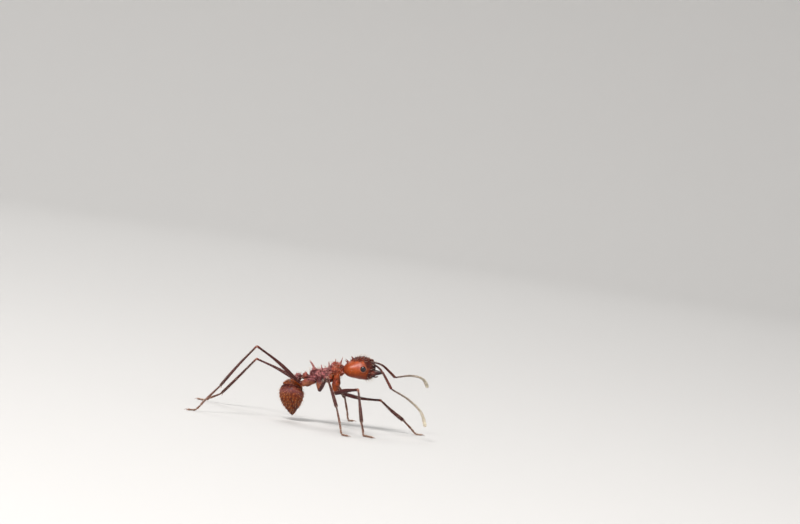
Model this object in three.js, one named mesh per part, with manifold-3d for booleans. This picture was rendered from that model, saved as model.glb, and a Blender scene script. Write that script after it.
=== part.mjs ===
// A leafcutter worker ant at life size, standing on its six feet with the head raised and the gaster hanging.
// Millimetres, +Z up, +X towards the head, +Y to the ant's left. The origin lies on the floor, under the
// middle of the box round the whole ant.
import * as THREE from "three";
import { mergeVertices } from "three/addons/utils/BufferGeometryUtils.js";
import Module from "manifold-3d";

const wasm = await Module();
wasm.setup();

// ---------------------------------------------------------------- driving dimensions

const GAP = 0.05; // clearance between two pieces that meet
const FLOOR = 0; // level of the flats under the feet

const HEAD = { length: 2.5, width: 2.3, height: 1.82, centre: [3.56, 0, 4.95], pitchDeg: 5 };
// How the head's capsule departs from an ellipsoid: its fullness, and shares of its half sizes.
const CAPSULE = {
  fullness: 0.86, frontNarrow: 0.28, lobeSpread: 0.04, hindThin: 0.3, hindDrop: 0.28, frontDrop: 0.08,
};
const NOTCH = { depth: 0.36, width: 0.34 }; // the cleft between the two lobes at the back of the head
// Rows of tubercles, each with its bristle, across the crown. leansDeg is how far forwards each row leans.
const CROWN = {
  height: 0.24, sunk: 0.12, root: 0.14, sides: 5, leansDeg: [-46, -30, -14, 2], perRow: 4, spreadDeg: 84,
};
const EYE = { place: [0.31, 1.09, 0], radii: [0.245, 0.2, 0.255] }; // in the head's own frame
const MANDIBLE = {
  root: { x: 0.85, inner: 0.3, outer: 0.84 }, tip: { x: 1.95, y: 0.06 }, heel: { x: 1.36, y: 0.16 },
  bow: { x: 1.72, y: 0.86 }, teeth: 5, toothDepth: 0.1, thickness: 0.44, taper: 0.6, drop: 0.3,
};

// The ellipsoids that make up the thorax, as centre and half sizes.
const THORAX = {
  pronotum: { centre: [1.72, 0, 4.55], radii: [0.6, 0.66, 0.58] },
  mesonotum: { centre: [1.02, 0, 4.13], radii: [0.66, 0.52, 0.5] },
  pleuron: { centre: [0.98, 0, 3.85], radii: [0.72, 0.5, 0.4] },
  propodeum: { centre: [0.2, 0, 3.92], radii: [0.55, 0.47, 0.5] },
};
const NECK = { from: [2.1, 0, 4.6], to: [2.62, 0, 4.72], radius: 0.27 };

const PETIOLE = { from: [-0.2, 0, 3.66], to: [-0.62, 0, 3.64], radius: 0.22 };
const PETIOLE_NODE = { centre: [-0.63, 0, 3.69], radii: [0.23, 0.32, 0.26] };
const POSTPETIOLE = { centre: [-1.16, 0, 3.49], radii: [0.32, 0.48, 0.3] };

// The gaster's long axis runs from its front, under the postpetiole, down to its tip.
const GASTER = { front: [-1.72, 0, 3.3], tip: [-1.22, 0, 0.4], width: 1.96, depth: 1.98, fullest: 0.4 };
const TUBERCLE = {
  height: 0.14, root: 0.14, sides: 5, rows: [0.18, 0.3, 0.42, 0.55], perRow: 5, spreadDeg: 130,
};

const COXA = { root: 0.3, middle: 0.29, middleAt: 0.45, spread: 0.3, end: 0.25 };
const FEMUR = { root: 0.24, swell: 0.06, swellAt: 0.38, spread: 0.26, knee: 0.24 };
const TIBIA = { knee: 0.23, swell: 0.035, swellAt: 0.78, spread: 0.22, ankle: 0.24 };
const TARSUS = { ankle: 0.23, end: 0.15, joints: 4, waist: 0.03, sides: 8 };
const CLAW = { length: 0.34, root: 0.08, spreadDeg: 34 };
const SCAPE = { socket: 0.2, end: 0.23 };
const FUNICULUS = { root: 0.2, end: 0.23, club: 0.03, clubAt: 0.86, spread: 0.16, blunting: 0.1 };

// Where each leg stands. Y is the distance outwards from the middle plane. The coxa runs from root to hip,
// the femur to the knee, the tibia to the ankle, and the tarsus by way of touch, on the floor, to the toe.
// lift is how far the middle of the femur and of the tibia stands above a straight line.
const LEGS = [
  {
    name: "right_fore", side: -1, thick: 1.12, lift: { femur: 0.08, tibia: 0 },
    root: [1.86, 0.42, 4.15], hip: [1.86, 0.62, 2.68], knee: [3.76, 3.8, 3.51],
    ankle: [4.39, 4.7, 1.04], touch: [4.7, 4.95, 0.14], toe: [5.36, 5.35, 0.1],
  },
  {
    name: "left_fore", side: 1, thick: 1.12, lift: { femur: -0.15, tibia: -0.06 },
    root: [1.86, 0.42, 4.15], hip: [1.98, 0.62, 2.78], knee: [5.65, 1.9, 2.5],
    ankle: [7.68, 2.9, 1.08], touch: [8.85, 3.3, 0.16], toe: [9.3, 3.5, 0.1],
  },
  {
    name: "right_mid", side: -1, thick: 1, lift: { femur: 0.06, tibia: 0.05 },
    root: [0.5, 0.4, 3.75], hip: [0.68, 0.74, 2.74], knee: [1.19, 4.45, 4.18],
    ankle: [2.28, 6.3, 2.09], touch: [3.02, 6.85, 0.16], toe: [3.47, 7.25, 0.1],
  },
  {
    name: "left_mid", side: 1, thick: 1, lift: { femur: 0.06, tibia: 0.05 },
    root: [0.5, 0.4, 3.75], hip: [0.68, 0.74, 2.74], knee: [1.16, 4.45, 3.86],
    ankle: [2.68, 6.15, 1.96], touch: [3.25, 6.85, 0.16], toe: [3.6, 7.25, 0.1],
  },
  {
    name: "right_hind", side: -1, thick: 1, lift: { femur: 0.16, tibia: 0.1 },
    root: [0.08, 0.34, 3.44], hip: [-0.86, 0.78, 3.06], knee: [-4.75, 2.4, 5.68],
    ankle: [-7.12, 3.6, 2.18], touch: [-8.75, 4.35, 0.18], toe: [-9.3, 4.75, 0.1],
  },
  {
    name: "left_hind", side: 1, thick: 1, lift: { femur: 0.12, tibia: -0.03 },
    root: [0.08, 0.34, 3.44], hip: [-0.86, 0.78, 3.02], knee: [-4.86, 3.3, 4.27],
    ankle: [-7.37, 5.35, 0.87], touch: [-8.65, 6.0, 0.16], toe: [-9.25, 6.38, 0.1],
  },
];

// Each antenna: the scape bows from its socket to the elbow, and the funiculus runs on through the bends
// to the tip.
const ANTENNAE = [
  {
    name: "right", side: -1, socket: [4.3, 0.32, 5.6], bow: [5.22, 0.95, 5.17], elbow: [6.34, 1.6, 3.78],
    bends: [[7.78, 1.8, 3.17], [8.93, 1.8, 2.3]], tip: [9.45, 1.75, 1.2],
  },
  {
    name: "left", side: 1, socket: [4.3, 0.32, 5.6], bow: [5.28, 1.05, 5.4], elbow: [6.5, 1.95, 4.5],
    bends: [[7.8, 2.6, 4.78], [8.75, 3.25, 4.6]], tip: [9.25, 3.9, 3.95],
  },
];

// Paired spines of the thorax and head, as root, tip and root radius. Y is the distance outwards.
const THORAX_SPINES = [
  { root: [1.84, 0.4, 4.84], tip: [2.1, 0.98, 5.62], radius: 0.24 }, // side of the pronotum
  { root: [1.58, 0.14, 4.96], tip: [1.56, 0.22, 5.46], radius: 0.17 }, // middle of the pronotum
  { root: [2.08, 0.38, 4.56], tip: [2.5, 0.72, 4.4], radius: 0.16 }, // lower corner of the pronotum
  { root: [1.12, 0.26, 4.4], tip: [1.04, 0.48, 5.14], radius: 0.22 }, // front of the mesonotum
  { root: [0.6, 0.18, 4.34], tip: [0.46, 0.3, 4.84], radius: 0.17 }, // back of the mesonotum
  { root: [0.06, 0.24, 4.2], tip: [-0.5, 0.56, 5.02], radius: 0.24 }, // propodeum
];
const HEAD_SPINES = [
  { root: [-0.84, 0.66, 0.3], tip: [-1.2, 0.92, 0.62], radius: 0.18 }, // hind corner
  { root: [-0.56, 0.36, 0.52], tip: [-0.72, 0.4, 0.88], radius: 0.15 }, // crown
  { root: [0.05, 0.76, 0.46], tip: [0, 0.98, 0.78], radius: 0.14 }, // above the eye
];
const FRONTAL_LOBE = { centre: [0.66, 0.3, 0.6], radii: [0.42, 0.15, 0.2] };
const CLYPEUS = { centre: [1.02, 0, 0.02], radii: [0.3, 0.5, 0.3] };
const PETIOLE_SPINES = [{ root: [-0.64, 0.16, 3.8], tip: [-0.7, 0.26, 4.12], radius: 0.13 }];
const POSTPETIOLE_SPINES = [{ root: [-1.14, 0.28, 3.6], tip: [-1.22, 0.52, 3.92], radius: 0.14 }];

// How finely each form is divided: sides round it, and rings along it.
const LIMB_SIDES = 10;
const CAP_RINGS = 2;
const SPINE_SIDES = 6;
const FINE = [26, 18];
const MIDDLING = [16, 12];
const COARSE = [14, 9];

// ---------------------------------------------------------------- solids

const vec = (p) => new THREE.Vector3(...p);
const onSide = ([x, y, z], side) => [x, y * side, z];

// A three.js geometry as a closed manifold-3d solid with its faces pointing out.
function solid(geometry) {
  const bare = new THREE.BufferGeometry();
  bare.setAttribute("position", geometry.getAttribute("position"));
  bare.setIndex(geometry.index);
  const merged = mergeVertices(bare, 1e-5);
  const faces = [];
  for (let i = 0; i < merged.index.count; i += 3) {
    const face = [merged.index.getX(i), merged.index.getX(i + 1), merged.index.getX(i + 2)];
    if (new Set(face).size === 3) faces.push(face);
  }
  const made = (list) =>
    new wasm.Manifold(
      new wasm.Mesh({
        numProp: 3,
        vertProperties: merged.attributes.position.array,
        triVerts: new Uint32Array(list.flat()),
      }),
    );
  const first = made(faces);
  return first.volume() > 0 ? first : made(faces.map(([a, b, c]) => [a, c, b]));
}

// The largest closed surface of a solid, without any loose scrap that a cut leaves.
function largest(body) {
  return body.decompose().sort((a, b) => b.volume() - a.volume())[0];
}

// Pieces joined into one body.
function fused(pieces) {
  return largest(pieces.reduce((whole, piece) => whole.add(piece)));
}

// A ball whose every unit direction goes to the point that place gives for it.
function blob(place, division = MIDDLING) {
  const form = new THREE.SphereGeometry(1, ...division);
  const at = form.getAttribute("position");
  for (let i = 0; i < at.count; i++) {
    const p = place(new THREE.Vector3().fromBufferAttribute(at, i));
    at.setXYZ(i, p.x, p.y, p.z);
  }
  return solid(form);
}

function ellipsoid({ centre, radii }, grow = 0, division = MIDDLING) {
  const half = vec(radii).addScalar(grow);
  return blob((d) => d.multiply(half).add(vec(centre)), division);
}

// A closed tube along a path, with a round cap on each end. radiusAt gives its radius at a share of its
// length.
function limb(path, radiusAt, { sides = LIMB_SIDES, rings = 8 } = {}) {
  const frames = path.computeFrenetFrames(rings, false);
  const station = (ring, radius, offset) => ({
    radius,
    centre: path.getPointAt(ring / rings).addScaledVector(frames.tangents[ring], offset),
    normal: frames.normals[ring],
    binormal: frames.binormals[ring],
  });
  const cap = (ring, sign) =>
    Array.from({ length: CAP_RINGS }, (_, k) => {
      const turn = (k / CAP_RINGS) * (Math.PI / 2);
      const round = radiusAt(ring / rings);
      return station(ring, round * Math.sin(turn), sign * round * Math.cos(turn));
    });
  const shaft = Array.from({ length: rings + 1 }, (_, i) => station(i, radiusAt(i / rings), 0));
  const stations = [...cap(0, -1), ...shaft, ...cap(rings, 1).reverse()];

  const form = new THREE.LatheGeometry(stations.map((s) => new THREE.Vector2(s.radius, 0)), sides);
  const at = form.getAttribute("position");
  for (let i = 0; i < at.count; i++) {
    const s = stations[i % stations.length];
    const p = s.centre.clone();
    p.addScaledVector(s.normal, at.getX(i)).addScaledVector(s.binormal, at.getZ(i));
    at.setXYZ(i, p.x, p.y, p.z);
  }
  return solid(form);
}

const straight = (from, to) => new THREE.LineCurve3(vec(from), vec(to));
const through = (points) => new THREE.CatmullRomCurve3(points.map(vec), false, "centripetal");

// A path whose middle stands by lift above the straight line.
function arched(from, to, lift) {
  const middle = vec(from).lerp(vec(to), 0.5);
  return through([from, [middle.x, middle.y, middle.z + lift], to]);
}

// A smooth hump, 1 at the middle and 0 a width away.
const hump = (t, middle, width) => Math.exp(-(((t - middle) / width) ** 2));
const mix = THREE.MathUtils.lerp;

// A cone that narrows faster near its root, for a spine, tubercle or claw. Its root is sunk in what it
// grows from.
function spine(root, tip, radius, sides = SPINE_SIDES) {
  const way = vec(tip).sub(vec(root));
  const shares = [[0, 0], [1, 0], [0.56, 0.55], [0.2, 0.95], [0, 1]];
  const profile = shares.map(([r, h]) => new THREE.Vector2(r * radius, h * way.length()));
  const turn = new THREE.Quaternion().setFromUnitVectors(new THREE.Vector3(0, 1, 0), way.normalize());
  return solid(new THREE.LatheGeometry(profile, sides).applyQuaternion(turn).translate(...root));
}

function pairedSpines(spines, frame = new THREE.Matrix4()) {
  return spines.flatMap(({ root, tip, radius }) =>
    [-1, 1].map((side) => {
      const ends = [root, tip].map((p) => vec(onSide(p, side)).applyMatrix4(frame).toArray());
      return spine(...ends, radius);
    }),
  );
}

// Cuts a body at the plane that halves the bend of a joint, and keeps the side that faces along keep.
function cutAtJoint(body, joint, arriving, leaving, keep) {
  const normal = arriving.clone().add(leaving).normalize().multiplyScalar(keep);
  return body.trimByPlane(normal.toArray(), joint.dot(normal) + GAP / 2);
}

// ---------------------------------------------------------------- head

const headFrame = new THREE.Matrix4()
  .makeRotationY(-THREE.MathUtils.degToRad(HEAD.pitchDeg))
  .setPosition(vec(HEAD.centre));

// The point of the heart-shaped capsule in direction d: two lobes behind with a notch between, a narrower
// front, and a thin hind edge.
function headPoint(d, grow = 0) {
  const half = new THREE.Vector3(HEAD.length, HEAD.width, HEAD.height).multiplyScalar(0.5).addScalar(grow);
  const full = (c) => Math.sign(c) * Math.abs(c) ** CAPSULE.fullness;
  const front = Math.max(d.x, 0);
  const back = Math.max(-d.x, 0);
  const p = new THREE.Vector3(full(d.x), full(d.y), full(d.z)).multiply(half);
  p.y *= 1 - CAPSULE.frontNarrow * front ** 2 + CAPSULE.lobeSpread * back;
  p.z *= 1 - CAPSULE.hindThin * back ** 1.6;
  p.z -= CAPSULE.hindDrop * back ** 2 + CAPSULE.frontDrop * front ** 3;
  p.x += NOTCH.depth * back ** 1.5 * hump(d.y, 0, NOTCH.width);
  return p.applyMatrix4(headFrame);
}

function headCapsule(grow = 0) {
  return blob((d) => headPoint(d, grow), FINE);
}

// Staggered rows of pointed tubercles over the crown.
function crownTubercles() {
  const { leansDeg, perRow, spreadDeg, height, sunk, root, sides } = CROWN;
  return leansDeg.flatMap((leanDeg, row) => {
    const lean = THREE.MathUtils.degToRad(leanDeg);
    const count = perRow + (row % 2);
    return Array.from({ length: count }, (_, i) => {
      const turn = THREE.MathUtils.degToRad((i / (count - 1) - 0.5) * spreadDeg);
      const d = new THREE.Vector3(Math.tan(lean), Math.sin(turn), Math.cos(turn)).normalize();
      return spine(headPoint(d, -sunk).toArray(), headPoint(d, height).toArray(), root, sides);
    });
  });
}

// An ellipsoid placed in the head's own frame.
function inHead({ centre, radii }, side, grow = 0) {
  return ellipsoid({ centre: onSide(centre, side), radii }, grow, COARSE).transform(headFrame.elements);
}

function head() {
  const lobes = [-1, 1].map((side) => inHead(FRONTAL_LOBE, side));
  const spines = [...pairedSpines(HEAD_SPINES, headFrame), ...crownTubercles()];
  return fused([headCapsule(), inHead(CLYPEUS, 1), ...lobes, ...spines]);
}

const headWithGap = headCapsule(GAP)
  .add(inHead(CLYPEUS, 1, GAP))
  .add(inHead(FRONTAL_LOBE, -1, GAP))
  .add(inHead(FRONTAL_LOBE, 1, GAP));

function eye(side) {
  return largest(inHead({ centre: EYE.place, radii: EYE.radii }, side).subtract(headWithGap));
}

// A three-sided blade that thins towards its tip, with a toothed edge that faces the other mandible.
function mandible(side) {
  const { root, tip, heel, bow, teeth, toothDepth, thickness, taper, drop } = MANDIBLE;
  const outline = new THREE.Shape();
  outline.moveTo(root.x, root.inner);
  outline.lineTo(root.x, root.outer);
  outline.quadraticCurveTo(bow.x, bow.y, tip.x, tip.y);
  for (let i = 0; i < teeth; i++) {
    const valley = (i + 0.7) / teeth;
    const point = (i + 1) / teeth;
    outline.lineTo(mix(tip.x, heel.x, valley), mix(tip.y, heel.y, valley) + toothDepth);
    outline.lineTo(mix(tip.x, heel.x, point), mix(tip.y, heel.y, point));
  }
  const flat = { depth: thickness, bevelEnabled: false, curveSegments: 8 };
  const blade = new THREE.ExtrudeGeometry(outline, flat);
  const at = blade.getAttribute("position");
  for (let i = 0; i < at.count; i++) {
    const share = (at.getX(i) - root.x) / (tip.x - root.x);
    at.setZ(i, (at.getZ(i) - thickness / 2) * (1 - taper * share) - drop);
  }
  blade.scale(1, side, 1).applyMatrix4(headFrame);
  return largest(solid(blade).subtract(headWithGap));
}

// ---------------------------------------------------------------- thorax and waist

function thoraxCore(grow = 0) {
  return Object.values(THORAX)
    .map((lobe) => ellipsoid(lobe, grow))
    .reduce((whole, lobe) => whole.add(lobe));
}

function thorax() {
  const neck = limb(straight(NECK.from, NECK.to), () => NECK.radius, { rings: 2 });
  const body = fused([thoraxCore(), neck, ...pairedSpines(THORAX_SPINES)]);
  return largest(body.subtract(headWithGap));
}

function petioleCore(grow = 0) {
  const stalk = limb(straight(PETIOLE.from, PETIOLE.to), () => PETIOLE.radius + grow, { rings: 2 });
  return stalk.add(ellipsoid(PETIOLE_NODE, grow, COARSE));
}

function petiole() {
  return largest(fused([petioleCore(), ...pairedSpines(PETIOLE_SPINES)]).subtract(thoraxCore(GAP)));
}

function postpetiole() {
  const body = fused([ellipsoid(POSTPETIOLE, 0, COARSE), ...pairedSpines(POSTPETIOLE_SPINES)]);
  return largest(body.subtract(petioleCore(GAP)));
}

// ---------------------------------------------------------------- gaster

const gasterAxis = vec(GASTER.tip).sub(vec(GASTER.front));
const gasterDorsal = new THREE.Vector3(0, 1, 0).cross(gasterAxis).normalize();

// The radius of a drop that is blunt in front and drawn out to its tip, as a share of its greatest radius.
function gasterRadius(share) {
  const toFront = share / GASTER.fullest;
  const toTip = (1 - share) / (1 - GASTER.fullest);
  return toFront < 1 ? Math.sqrt(1 - (1 - toFront) ** 2) : Math.sin((toTip * Math.PI) / 2) ** 0.95;
}

// A point at a share of the gaster's length, turned about its axis from the middle of its upper side.
function gasterPoint(share, turn, lift = 0) {
  const radius = gasterRadius(share);
  return vec(GASTER.front)
    .addScaledVector(gasterAxis, share)
    .addScaledVector(gasterDorsal, Math.cos(turn) * (radius * (GASTER.depth / 2) + lift))
    .add(new THREE.Vector3(0, Math.sin(turn) * (radius * (GASTER.width / 2) + lift), 0));
}

function gaster() {
  const share = (d) => Math.acos(THREE.MathUtils.clamp(-d.y, -1, 1)) / Math.PI;
  const drop = blob((d) => gasterPoint(share(d), Math.atan2(d.x, d.z)), FINE);
  const spread = THREE.MathUtils.degToRad(TUBERCLE.spreadDeg);
  const tubercles = TUBERCLE.rows.flatMap((place, row) =>
    Array.from({ length: TUBERCLE.perRow }, (_, i) => {
      const turn = ((i + 0.5 * (row % 2)) / (TUBERCLE.perRow - 1) - 0.5) * spread;
      const root = gasterPoint(place, turn, -TUBERCLE.height);
      const tip = gasterPoint(place, turn, TUBERCLE.height);
      return spine(root.toArray(), tip.toArray(), TUBERCLE.root, TUBERCLE.sides);
    }),
  );
  return largest(fused([drop, ...tubercles]).subtract(ellipsoid(POSTPETIOLE, GAP, COARSE)));
}

// ---------------------------------------------------------------- legs and antennae

const direction = (from, to) => vec(to).sub(vec(from)).normalize();

// The four pieces of one leg, each cut where it bends away from the next, and the foot flat on the floor.
function leg({ name, side, thick, lift, ...pose }) {
  const at = Object.fromEntries(Object.entries(pose).map(([joint, p]) => [joint, onSide(p, side)]));
  const coxaWay = direction(at.root, at.hip);
  const femurWay = direction(at.hip, at.knee);
  const tibiaWay = direction(at.knee, at.ankle);
  const tarsusWay = direction(at.ankle, at.touch);

  const coxaRadius = (t) =>
    mix(mix(COXA.root, COXA.end, t), COXA.middle, hump(t, COXA.middleAt, COXA.spread));
  const femurRadius = (t) =>
    thick * (mix(FEMUR.root, FEMUR.knee, t) + FEMUR.swell * hump(t, FEMUR.swellAt, FEMUR.spread));
  const tibiaRadius = (t) =>
    mix(TIBIA.knee, TIBIA.ankle, t) + TIBIA.swell * hump(t, TIBIA.swellAt, TIBIA.spread);
  const coxa = limb(straight(at.root, at.hip), coxaRadius, { rings: 5 });
  const femur = limb(arched(at.hip, at.knee, lift.femur), femurRadius, { rings: 7 });
  const tibia = limb(arched(at.knee, at.ankle, lift.tibia), tibiaRadius, { rings: 6 });

  const hip = (body, keep) => cutAtJoint(body, vec(at.hip), coxaWay, femurWay, keep);
  const knee = (body, keep) => cutAtJoint(body, vec(at.knee), femurWay, tibiaWay, keep);
  const ankle = (body, keep) => cutAtJoint(body, vec(at.ankle), tibiaWay, tarsusWay, keep);
  const pieces = {
    coxa: hip(coxa, -1).subtract(thoraxCore(GAP)),
    femur: knee(hip(femur, 1), -1),
    tibia: ankle(knee(tibia, 1), -1),
    tarsus: ankle(tarsus(at), 1),
  };
  return Object.entries(pieces).map(([piece, body]) => [`leg_${name}_${piece}`, largest(body)]);
}

// The foot: five short joints with waists between, two claws, and a flat sole where it lies on the floor.
function tarsus({ ankle, touch, toe }) {
  const path = through([ankle, vec(ankle).lerp(vec(touch), 0.6).toArray(), touch, toe]);
  const radiusAt = (t) =>
    mix(TARSUS.ankle, TARSUS.end, t) - TARSUS.waist * (0.5 + 0.5 * Math.cos(2 * Math.PI * TARSUS.joints * t));
  const shaft = limb(path, radiusAt, { sides: TARSUS.sides, rings: 3 * TARSUS.joints });
  const way = direction(touch, toe);
  const up = new THREE.Vector3(0, 0, 1);
  const claws = [-1, 1].map((turn) => {
    const reach = way.clone().applyAxisAngle(up, turn * THREE.MathUtils.degToRad(CLAW.spreadDeg));
    const tip = vec(toe).addScaledVector(reach, CLAW.length).setZ(CLAW.root);
    return spine(toe, tip.toArray(), CLAW.root);
  });
  return fused([shaft, ...claws]).trimByPlane([0, 0, 1], FLOOR);
}

function antenna({ name, side, socket, bow, elbow, bends, tip }) {
  const [root, arch, bend, end] = [socket, bow, elbow, tip].map((p) => onSide(p, side));
  const rest = bends.map((p) => onSide(p, side));
  const arriving = direction(arch, bend);
  const leaving = direction(bend, rest[0]);
  const scape = limb(through([root, arch, bend]), (t) => mix(SCAPE.socket, SCAPE.end, t));
  const clubbed = (t) => FUNICULUS.club * hump(t, FUNICULUS.clubAt, FUNICULUS.spread);
  const blunted = (t) => FUNICULUS.blunting * t ** 14;
  const whipRadius = (t) => mix(FUNICULUS.root, FUNICULUS.end, t) + clubbed(t) - blunted(t);
  const whip = limb(through([bend, ...rest, end]), whipRadius, { rings: 14 });
  const elbowed = (body, keep) => cutAtJoint(body, vec(bend), arriving, leaving, keep);
  return [
    [`antenna_${name}_scape`, largest(elbowed(scape, -1).subtract(headWithGap))],
    [`antenna_${name}_funiculus`, largest(elbowed(whip, 1))],
  ];
}

// ---------------------------------------------------------------- materials and the whole ant

function cuticle(color, roughness) {
  return new THREE.MeshStandardMaterial({ color, roughness, metalness: 0 });
}

const MATERIALS = {
  head: cuticle(0xa4461c, 0.32),
  thorax: cuticle(0x8c3c22, 0.5),
  gaster: cuticle(0x93401c, 0.48),
  leg: cuticle(0x5c2a26, 0.4),
  antenna: cuticle(0x6a3630, 0.45),
  mandible: cuticle(0x4a1a12, 0.25),
  eye: cuticle(0x0c0a10, 0.12),
};

function geometryOf(body) {
  const mesh = body.getMesh();
  const form = new THREE.BufferGeometry();
  form.setAttribute("position", new THREE.BufferAttribute(mesh.vertProperties, 3));
  form.setIndex(new THREE.BufferAttribute(mesh.triVerts, 1));
  form.computeVertexNormals();
  return form;
}

const ant = new THREE.Group();

function add(name, body, material) {
  const mesh = new THREE.Mesh(geometryOf(body), material);
  mesh.name = name;
  ant.add(mesh);
}

add("head", head(), MATERIALS.head);
for (const [name, side] of [["right", -1], ["left", 1]]) {
  add(`eye_${name}`, eye(side), MATERIALS.eye);
  add(`mandible_${name}`, mandible(side), MATERIALS.mandible);
}
for (const pose of ANTENNAE) {
  for (const [name, body] of antenna(pose)) add(name, body, MATERIALS.antenna);
}
add("thorax", thorax(), MATERIALS.thorax);
add("petiole", petiole(), MATERIALS.thorax);
add("postpetiole", postpetiole(), MATERIALS.thorax);
add("gaster", gaster(), MATERIALS.gaster);
for (const pose of LEGS) {
  for (const [name, body] of leg(pose)) add(name, body, MATERIALS.leg);
}

export default ant;
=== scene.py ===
import math
from collections import namedtuple

import bpy
import numpy as np
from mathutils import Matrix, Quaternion, Vector


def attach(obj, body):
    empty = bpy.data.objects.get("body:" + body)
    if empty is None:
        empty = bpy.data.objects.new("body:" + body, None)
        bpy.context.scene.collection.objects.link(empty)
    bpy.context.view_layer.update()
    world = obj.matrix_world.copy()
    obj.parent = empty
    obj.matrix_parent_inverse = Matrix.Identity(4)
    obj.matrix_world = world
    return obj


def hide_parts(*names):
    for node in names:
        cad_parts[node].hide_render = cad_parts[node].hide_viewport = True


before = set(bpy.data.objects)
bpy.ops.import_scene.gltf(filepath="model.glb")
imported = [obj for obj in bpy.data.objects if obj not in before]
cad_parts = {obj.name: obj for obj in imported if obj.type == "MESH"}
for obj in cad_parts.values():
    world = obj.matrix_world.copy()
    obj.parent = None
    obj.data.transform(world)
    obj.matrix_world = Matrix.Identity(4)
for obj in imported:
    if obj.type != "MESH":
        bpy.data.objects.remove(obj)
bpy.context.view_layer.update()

MM = 0.001
FAR = 9.0  # a distance beyond all others in the ant
BODY = "root"
SEED = 7
FULL_TURN = 2 * math.pi
RIGHT, LEFT = -1, 1
SIDES = {"right": RIGHT, "left": LEFT}
BOTH = RIGHT, LEFT

# ---- where the pieces lie

HEAD_CENTRE = np.array([3.56, 0, 4.95])
HEAD_PITCH = math.radians(5)
AHEAD, RISE = math.cos(HEAD_PITCH), math.sin(HEAD_PITCH)
HEAD_TURN = np.array([[AHEAD, 0, -RISE], [0, 1, 0], [RISE, 0, AHEAD]])
HEAD_AXIS = HEAD_TURN[:, 0]

# In the head's own frame: each eye, and the paired spines as root, tip and root radius.
EYE_PLACE = np.array([0.31, 1.05, 0.01])
EYE_RADII = np.array([0.235, 0.165, 0.24])
HEAD_SPINES = [
    ((-0.8, 0.66, 0.26), (-1.2, 0.88, 0.64), 0.1),
    ((-0.52, 0.36, 0.58), (-0.72, 0.42, 0.94), 0.085),
    ((0.06, 0.76, 0.64), (0.0, 0.97, 0.9), 0.075),
    ((-0.9, 0.34, 0.3), (-1.1, 0.38, 0.5), 0.065),
    ((-0.36, 0.68, 0.54), (-0.48, 0.8, 0.74), 0.06),
    ((-1.02, 0.62, -0.06), (-1.2, 0.7, 0.02), 0.055),
]
HEAD_SPINE_BOW = (0.02, 0, 0.02)

# Paired spines of the thorax and the waist, as root, tip, root radius and the bow of their middle.
STRAIGHT = (0, 0, 0)
TRUNK_SPINES = [
    ((1.84, 0.42, 4.84), (2.1, 0.98, 5.62), 0.12, (0.06, 0, -0.03)),
    ((1.58, 0.16, 4.98), (1.56, 0.22, 5.44), 0.085, (0.02, 0, 0)),
    ((2.08, 0.4, 4.54), (2.48, 0.7, 4.38), 0.085, (0.02, 0.02, 0)),
    ((1.12, 0.26, 4.4), (1.04, 0.48, 5.12), 0.105, (0.05, 0.02, 0)),
    ((0.6, 0.18, 4.34), (0.46, 0.3, 4.82), 0.085, (0.02, 0, 0)),
    ((0.06, 0.24, 4.2), (-0.5, 0.56, 5.0), 0.12, (0.04, 0.02, 0.06)),
    ((-0.64, 0.16, 3.84), (-0.7, 0.25, 4.12), 0.07, STRAIGHT),
    ((-0.6, 0.24, 3.7), (-0.62, 0.4, 3.82), 0.05, STRAIGHT),
    ((-1.14, 0.3, 3.66), (-1.22, 0.52, 3.92), 0.08, STRAIGHT),
    ((-1.3, 0.16, 3.7), (-1.38, 0.2, 3.88), 0.055, STRAIGHT),
]
SPINE_STEPS = 12
SPINE_TAPER = 0.9
SPINE_FLARE, SPINE_BLEND = 0.1, 0.002  # how softly a spine's root and its other stretches join

GASTER_FRONT = np.array([-1.72, 0, 3.3])
GASTER_TIP = np.array([-1.22, 0, 0.4])
GASTER_RADIUS = 0.95
GASTER_FULLEST = 0.4
GASTER_COLLAR = 0.16  # the furrow behind the gaster's front face, as a share of its length
COLLAR_BEND = 0.2  # how far the furrow turns down at the gaster's underside
PLATE_EDGES = (0.72, 0.82, 0.9, 0.96)  # where the hind edges of its plates stand

# Each pair of legs: where its coxae spring from, and the coxa's and the tibia's fullest radii. In this table
# and the next two, Y is the distance outwards from the middle plane.
Pair = namedtuple("Pair", "root coxa tibia")
FORE = Pair((1.86, 0.42, 4.15), 0.27, 0.15)
MID = Pair((0.5, 0.4, 3.75), 0.25, 0.145)
HIND = Pair((0.08, 0.34, 3.44), 0.32, 0.118)

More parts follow.
